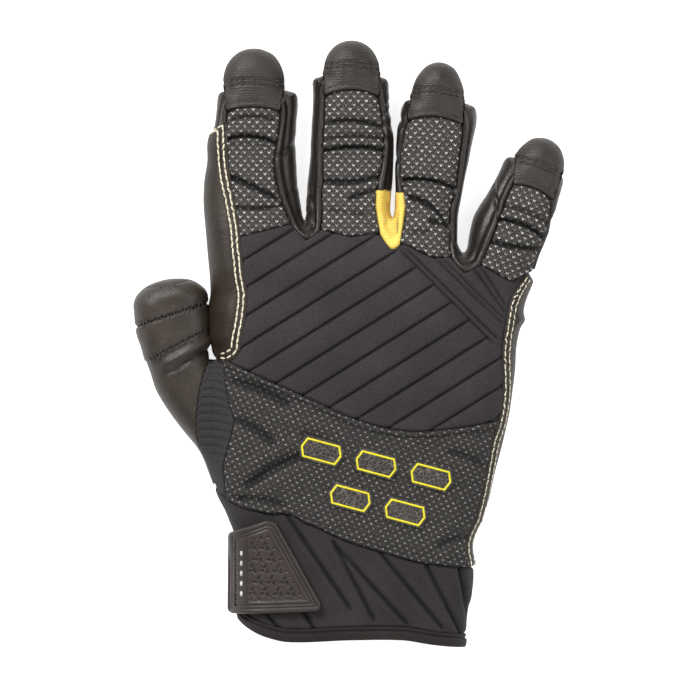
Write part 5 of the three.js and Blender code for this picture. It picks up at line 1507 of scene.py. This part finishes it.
# %% Tab
def polygon_inside(points, corners, radius):
    """Distance inside a convex polygon with rounded corners."""
    corners = np.asarray(corners, float)
    centre = corners.mean(0)
    lines = []
    for a, b in zip(corners, np.roll(corners, -1, axis=0)):
        edge = (b - a) / np.linalg.norm(b - a)
        normal = np.array([-edge[1], edge[0]])
        normal *= np.sign(normal @ (centre - a))
        lines.append((normal, normal @ a + radius))
    lines_n, lines_o = np.array([n for n, _ in lines]), np.array([o for _, o in lines])
    straight = (points @ lines_n.T - lines_o).min(-1)
    pairs = zip(np.roll(lines_n, 1, axis=0), lines_n, np.roll(lines_o, 1), lines_o)
    inner = np.array([np.linalg.solve(np.stack([n1, n2]), np.array([o1, o2])) for n1, n2, o1, o2 in pairs])
    outside = np.full(points.shape[:-1], 1e9)
    for a, b in zip(inner, np.roll(inner, -1, axis=0)):
        ab = b - a
        k = np.clip(((points - a) @ ab) / (ab @ ab), 0, 1)
        outside = np.minimum(outside, np.linalg.norm(points - a - k[..., None] * ab, axis=-1))
    return np.where(straight > 0, straight, -outside) + radius


TAB = [(-44.2, 12.3), (-11.0, 13.6), (-10.2, 16.2), (-26.5, 45.6), (-30, 46.2), (-44.0, 41.2)]


def stars(points, pitch=4.7, near=0.42, far=1.95):
    """Distance to the nearest of many marks: three bars round a point, each with a short bent tick."""
    best = np.full(points.shape[:-1], 9.0)
    for shift in (0.0, 0.5):
        row = pitch * math.sqrt(3)
        cell = np.stack([points[..., 0] / pitch + shift, points[..., 1] / row + shift], -1)
        local = (cell - np.floor(cell) - 0.5) * (pitch, row)
        for turn in (78, 198, 318):
            way, bent = (np.array([math.cos(a), math.sin(a)]) for a in np.radians((turn, turn + 115)))
            k = np.clip(local @ way, near, far)
            best = np.minimum(best, np.linalg.norm(local - k[..., None] * way, axis=-1))
            tick = local - 0.55 * far * way
            k = np.clip(tick @ bent, 0, 0.75)
            best = np.minimum(best, np.linalg.norm(tick - k[..., None] * bent, axis=-1))
    return best


def plate_height(points, lift):
    """Height of the back's skin moved out by a lift.

    A surface moved out from a quarter-round is a larger one: its roll and its reach past the
    outline both grow by the lift.
    """
    d, _, roll = nearest(points)
    signed = np.where(within(points), d, -raw_distance(points))
    high = crest(points[..., 0], points[..., 1])
    middle = high * MID_SHARE
    return middle + (high + lift - middle) * quarter(np.maximum(signed + lift, 0.9) / (roll + lift))


def raw_distance(points):
    """Distance to the outline's points, whichever side of it a point is on."""
    close = outline[outline[:, 0] < 0]
    return np.sqrt(((points[..., None, :] - close) ** 2).sum(-1).min(-1))


def tab_inside(points):
    return polygon_inside(points, TAB, 2.0)


xy, faces = cut_grid(tab_inside, (-46, -8), (10, 48), 0.26)
points = np.column_stack([xy, plate_height(xy, TAB_LIFT)])
depth = tab_inside(xy)
relief = -0.8 * (1 - quarter(depth / 0.8))
lines = peak(depth - 1.9, 0.3) + peak(depth - 3.0, 0.3)
field = smooth((depth - 4.0) / 0.4) * smooth((xy[:, 0] + 36.4) / 0.6)
marks = field * (1 - smooth((stars(xy) - 0.13) / 0.2)) * smooth((depth - 4.6) / 0.5)
column = peak(xy[:, 0] + 36.9, 0.35) * smooth((depth - 3.2) / 0.4)
relief -= 0.5 * lines + 0.3 * field + 0.55 * marks + 0.4 * column
flat_up = np.broadcast_to(np.array([0.0, 0.0, 1.0]), points.shape)
# The fold attribute paints shade into the rim lines, the pressed marks and the stitch column.
piece("strap_tab_rubber", points + flat_up * relief[:, None], faces, flat_up, tab_rubber,
      TAB_WALL,
      nodes=("strap_tab",), fold=np.clip(0.55 * lines + 0.8 * marks + 0.5 * column, 0, 1))

# %% Strap
ups = mix(-0.64, -0.2, steps(60))
points, normals = strip_grid(thumb_side(ups), spot(-0.18 - 0.1 * (ups + 0.64), ups), gap=SEAM_GAP)
relief = STRAP_LIFT - 0.5 * (1 - quarter(edge_distance(points) / 0.7))
panel("wrist_strap_band", points, normals, relief, tab_rubber, STRAP_WALL,
      nodes=("wrist_strap",))

# %% [markdown]
# ## Pads
# The mesh panel carries raised rubber pads. Here they are plain slanted six-sided plates, black
# with a yellow rim.

# %% Pads
PADS = {
    "pad_1": (-0.09, 0.25), "pad_2": (0.08, 0.205), "pad_3": (0.25, 0.16), "pad_4": (0.0, 0.085),
    "pad_5": (0.17, 0.035),
}
PAD_LENGTH, PAD_HEIGHT, PAD_TILT, PAD_CORNER = 17.0, 9.0, math.radians(-15), 0.8
RIM_FROM_EDGE, RIM_HALF_WIDTH = 1.25, 0.38
tilt_x, tilt_y = math.cos(PAD_TILT), math.sin(PAD_TILT)
pad_turn = np.array([[tilt_x, tilt_y], [-tilt_y, tilt_x]])
a, b, c = PAD_LENGTH / 2, PAD_HEIGHT / 2, 0.78 * PAD_LENGTH / 2
pad_shape = np.array([(-a, 0), (-c, -b), (c, -b), (a, 0), (c, b), (-c, b)])


def pad_inside(points, centre):
    return polygon_inside((points - centre) @ pad_turn.T, pad_shape, PAD_CORNER)


def rim_inside(points, centre):
    """Inside the narrow band that follows the pad's edge."""
    return RIM_HALF_WIDTH - np.abs(pad_inside(points, centre) - RIM_FROM_EDGE)


for name, place in PADS.items():
    centre = spot(*place)
    box = (centre[0] - 11, centre[0] + 11), (centre[1] - 9, centre[1] + 9)
    xy, faces = cut_grid(pad_inside, *box, 0.25, centre)
    points, normals = skin(xy)
    lift = 1.1 * quarter(pad_inside(xy, centre) / 0.5) + 0.2
    piece(f"{name}_rubber", points + normals * lift[:, None], faces, normals, pad_rubber,
          PAD_WALL,
          nodes=(name,))
    xy, faces = cut_grid(rim_inside, *box, 0.16, centre)
    points, normals = skin(xy)
    lift = 1.35 + 0.35 * quarter(np.clip(rim_inside(xy, centre) / RIM_HALF_WIDTH, 0, 1))
    piece(f"{name}_yellow_rim", points + normals * lift[:, None], faces, normals, pad_yellow,
          PAD_RIM_WALL)


# %% [markdown]
# ## Stitches
# A stitch is a small capsule of thread. Rows of them follow a line on the skin: the line is measured
# off at even spaces, and one copy of the capsule is turned into each place, all in one array.


# %% Stitch rows
def capsule(length, radius, sides=6):
    """Rings of a stitch along x: small at both ends, full in the middle."""
    stations = np.array([-0.5, -0.36, 0, 0.36, 0.5]) * length
    sizes = np.array([0.25, 0.85, 1, 0.85, 0.25]) * radius
    angle = np.arange(sides) * math.tau / sides
    along, round_y, round_z = np.broadcast_arrays(
        stations[:, None], sizes[:, None] * np.cos(angle), sizes[:, None] * np.sin(angle))
    return np.stack([along, round_y, round_z], -1).reshape(-1, 3), grid_faces(5, sides, ring=True)


def even_points(path, spacing):
    path = np.asarray(path, float)
    run = np.concatenate([[0], np.cumsum(np.linalg.norm(np.diff(path, axis=0), axis=1))])
    count = max(2, int(run[-1] / spacing))
    at = (np.arange(count) + 0.5) * run[-1] / count
    place, ahead, behind = (
        np.column_stack([np.interp(where, run, column) for column in path.T])
        for where in (at, at + 0.2, at - 0.2))
    return place, ahead - behind


def stitches(name, rows, material, spacing, length, radius, lift, slant=0.0, jitter=0.1):
    """Rows of stitches along plan lines on the back, or along lines of points with directions."""
    shape, shape_faces = capsule(length, radius)
    all_points, all_faces, all_dirs = [], [], []
    rng = np.random.default_rng(len(name))
    start = 0
    for path in rows:
        place, along = even_points(path, spacing)
        if place.shape[1] == 2:
            at, normal = skin(place)
            along = skin(place + along / 2)[0] - skin(place - along / 2)[0]
        else:
            at, normal, along = place[:, :3], place[:, 3:], along[:, :3]
        along = along - normal * (along * normal).sum(1, keepdims=True)
        along /= np.maximum(np.linalg.norm(along, axis=1, keepdims=True), 1e-9)
        beside = np.cross(normal, along)
        turn = slant + rng.normal(0, jitter, len(at))
        if slant:
            turn = np.where(np.arange(len(at)) % 2, turn, -turn)
        fore = along * np.cos(turn)[:, None] + beside * np.sin(turn)[:, None]
        beside = np.cross(normal, fore)
        axes = np.stack([fore, beside, normal], axis=1)
        body = shape @ axes
        all_dirs.append(body.reshape(-1, 3))
        all_points.append((body + (at + normal * lift)[:, None]).reshape(-1, 3))
        shift = start + np.arange(len(at))[:, None, None] * len(shape)
        all_faces.append((shape_faces + shift).reshape(-1, 4))
        start += len(at) * len(shape)
    points, faces, dirs = (np.concatenate(group) for group in (all_points, all_faces, all_dirs))
    return piece(name, points, faces, dirs, material, wall=0)


def inset(path, inner, distance):
    """A line's copy moved towards a partner line by a distance."""
    way = inner - path
    return path + way / np.maximum(np.linalg.norm(way, axis=-1, keepdims=True), 1e-6) * distance


def offset(path, distance):
    """A line's copy moved square to itself, to the right of its direction."""
    along = np.gradient(path, axis=0)
    along /= np.linalg.norm(along, axis=1, keepdims=True)
    return path + np.stack([along[:, 1], -along[:, 0]], axis=1) * distance


patch_edge_line = pulled(patch_base, patch_top, -1.2)
patch_rows = [offset(patch_edge_line, d)[skip:-2] for d, skip in ((1.7, 2), (3.5, 5))]
cut_k = mix(0.1, 0.97, steps(20))[:, None]
cuts = [mix(patch_base[skip], row[0], cut_k) for row, skip in zip(patch_rows, (3, 6))]
stitches("patch_stitches", patch_rows + cuts, cream_thread,
         spacing=2.25, length=2.3, radius=0.36, lift=0.85, jitter=0.13)
strip_rows = [inset(strip_top, strip_base, distance)[3:] for distance in (0.4, 1.9)]
stitches("strip_stitches", strip_rows, cream_thread,
         spacing=2.3, length=2.15, radius=0.28, lift=0.62, jitter=0.2)


def finger_row(finger, place, bowed=1.2, cut=0.1):
    """A row of stitches across a fingertip's back."""
    k = mix(cut, 1 - cut, steps(40))
    left, right = tip_sides(finger, np.full_like(k, place))
    blend = smooth((place - finger.seam) / (finger.ear + 0.014 - finger.seam))
    left = mix(-finger.seam_left(finger.seam), left, blend)
    right = mix(finger.seam_right(finger.seam), right, blend)
    at = place + bowed * arched(k) / finger.reach
    return finger.place(at, mix(left, right, k))


cap_rows = []
for name, finger in fingers.items():
    cap_rows += [finger_row(finger, place) for place in CAP_ROWS[name]]
    cap_rows.append(finger_row(finger, finger.seam + 2.1 / finger.reach, finger.arch * finger.reach, 0.06))
stitches("cap_stitches", cap_rows, dark_thread, spacing=2.0, length=1.45, radius=0.24, lift=0.42)


def thumb_row(low_left, low_right):
    k = mix(0.06, 0.94, steps(40))
    at = mix(low_left, low_right, k)
    left, right = tip_sides(thumb, at)
    return thumb.place(at, mix(left, right, k))


stitches("thumb_zigzag", [thumb_row(*band_low), thumb_row(*band_high)], dark_thread,
         spacing=1.25, length=3.1, radius=0.17, lift=0.3, slant=1.15)
edge_k = mix(0.1, 0.9, steps(40))
edge_row = thumb.place(1 - (2.4 + 5.5 * (2 * edge_k - 1) ** 2) / thumb.reach, mix(-9.5, 9.5, edge_k))
stitches("thumb_edge_stitches", [edge_row], dark_thread,
         spacing=1.7, length=1.2, radius=0.18, lift=0.35)

# %% Stitches on cuff and tab
def tab_row(x, low, high):
    """A row up the tab: plan points, their height on the plate, and straight up as direction."""
    line = plan(x, mix(low, high, steps(20)))
    return np.column_stack([line, plate_height(line, TAB_LIFT), np.zeros_like(line), np.ones(len(line))])


stitches("tab_stitches", [tab_row(-41.6, 15, 39)], dark_thread,
         spacing=1.7, length=1.2, radius=0.24, lift=0.0)
stitches("tab_marks", [tab_row(-38.9, 18, 36)], tab_mark,
         spacing=3.6, length=1.9, radius=0.6, lift=-0.1, jitter=0)

# %% [markdown]
# ## Camera, light and floor
# The photograph looks straight down on the glove, so the camera hangs over it. A long lens keeps
# the outline true. The floor is white and glows a little, like the photograph's blank background,
# with large soft lamps on both sides.


# %% Stage
def add_lamp(name, place, size, power):
    lamp = bpy.data.lights.new(name, "AREA")
    lamp.shape, lamp.energy = "RECTANGLE", power
    lamp.size, lamp.size_y = size
    obj = bpy.data.objects.new(name, lamp)
    bpy.context.scene.collection.objects.link(obj)
    obj.location = place
    obj.rotation_euler = (-Vector(place)).to_track_quat("-Z", "Y").to_euler()


camera_data = bpy.data.cameras.new("camera")
camera = bpy.data.objects.new("camera", camera_data)
bpy.context.scene.collection.objects.link(camera)
bpy.context.scene.camera = camera
CAMERA_HEIGHT, SENSOR, PHOTO_WIDTH = 1.4, 36.0, 0.252
camera.location = (0.0002, -0.0025, CAMERA_HEIGHT + 0.012)
camera_data.sensor_width = SENSOR
camera_data.lens = SENSOR * CAMERA_HEIGHT / PHOTO_WIDTH
camera_data.clip_end = 20

add_lamp("key", (-0.55, 0.75, 0.75), (0.5, 0.4), 19)
add_lamp("fill", (0.65, 0.1, 0.8), (0.5, 0.8), 5)
add_lamp("low", (0.1, -0.8, 0.7), (0.9, 0.4), 3)
world = bpy.data.worlds.new("studio")
bpy.context.scene.world = world
world.use_nodes = True
world.node_tree.nodes["Background"].inputs[0].default_value = (1, 1, 1, 1)
world.node_tree.nodes["Background"].inputs[1].default_value = 0.55

floor_look = Nodes("floor_white", (0.93, 0.93, 0.92), 0.8)
floor_where = floor_look.place(scale=20)
floor_look.tint(floor_look.noise(floor_where, 2.0), (0.5, 0.5, 0.5), (0.52, 0.52, 0.515))
floor_look.shader.inputs["Emission Color"].default_value = (1, 1, 1, 1)
floor_look.shader.inputs["Emission Strength"].default_value = 0.8
floor_mesh = bpy.data.meshes.new("floor")
FLOOR_HALF, FLOOR_LEVEL = 3, -0.0004
signs = ((-1, -1), (1, -1), (1, 1), (-1, 1))
floor_corners = [(x * FLOOR_HALF, y * FLOOR_HALF, FLOOR_LEVEL) for x, y in signs]
floor_mesh.from_pydata(floor_corners, [], [(0, 1, 2, 3)])
floor_mesh.materials.append(floor_look.material)
floor = bpy.data.objects.new("floor", floor_mesh)
bpy.context.scene.collection.objects.link(floor)
bpy.context.scene.view_settings.view_transform = "Standard"

# %% Finish
print("scene built")
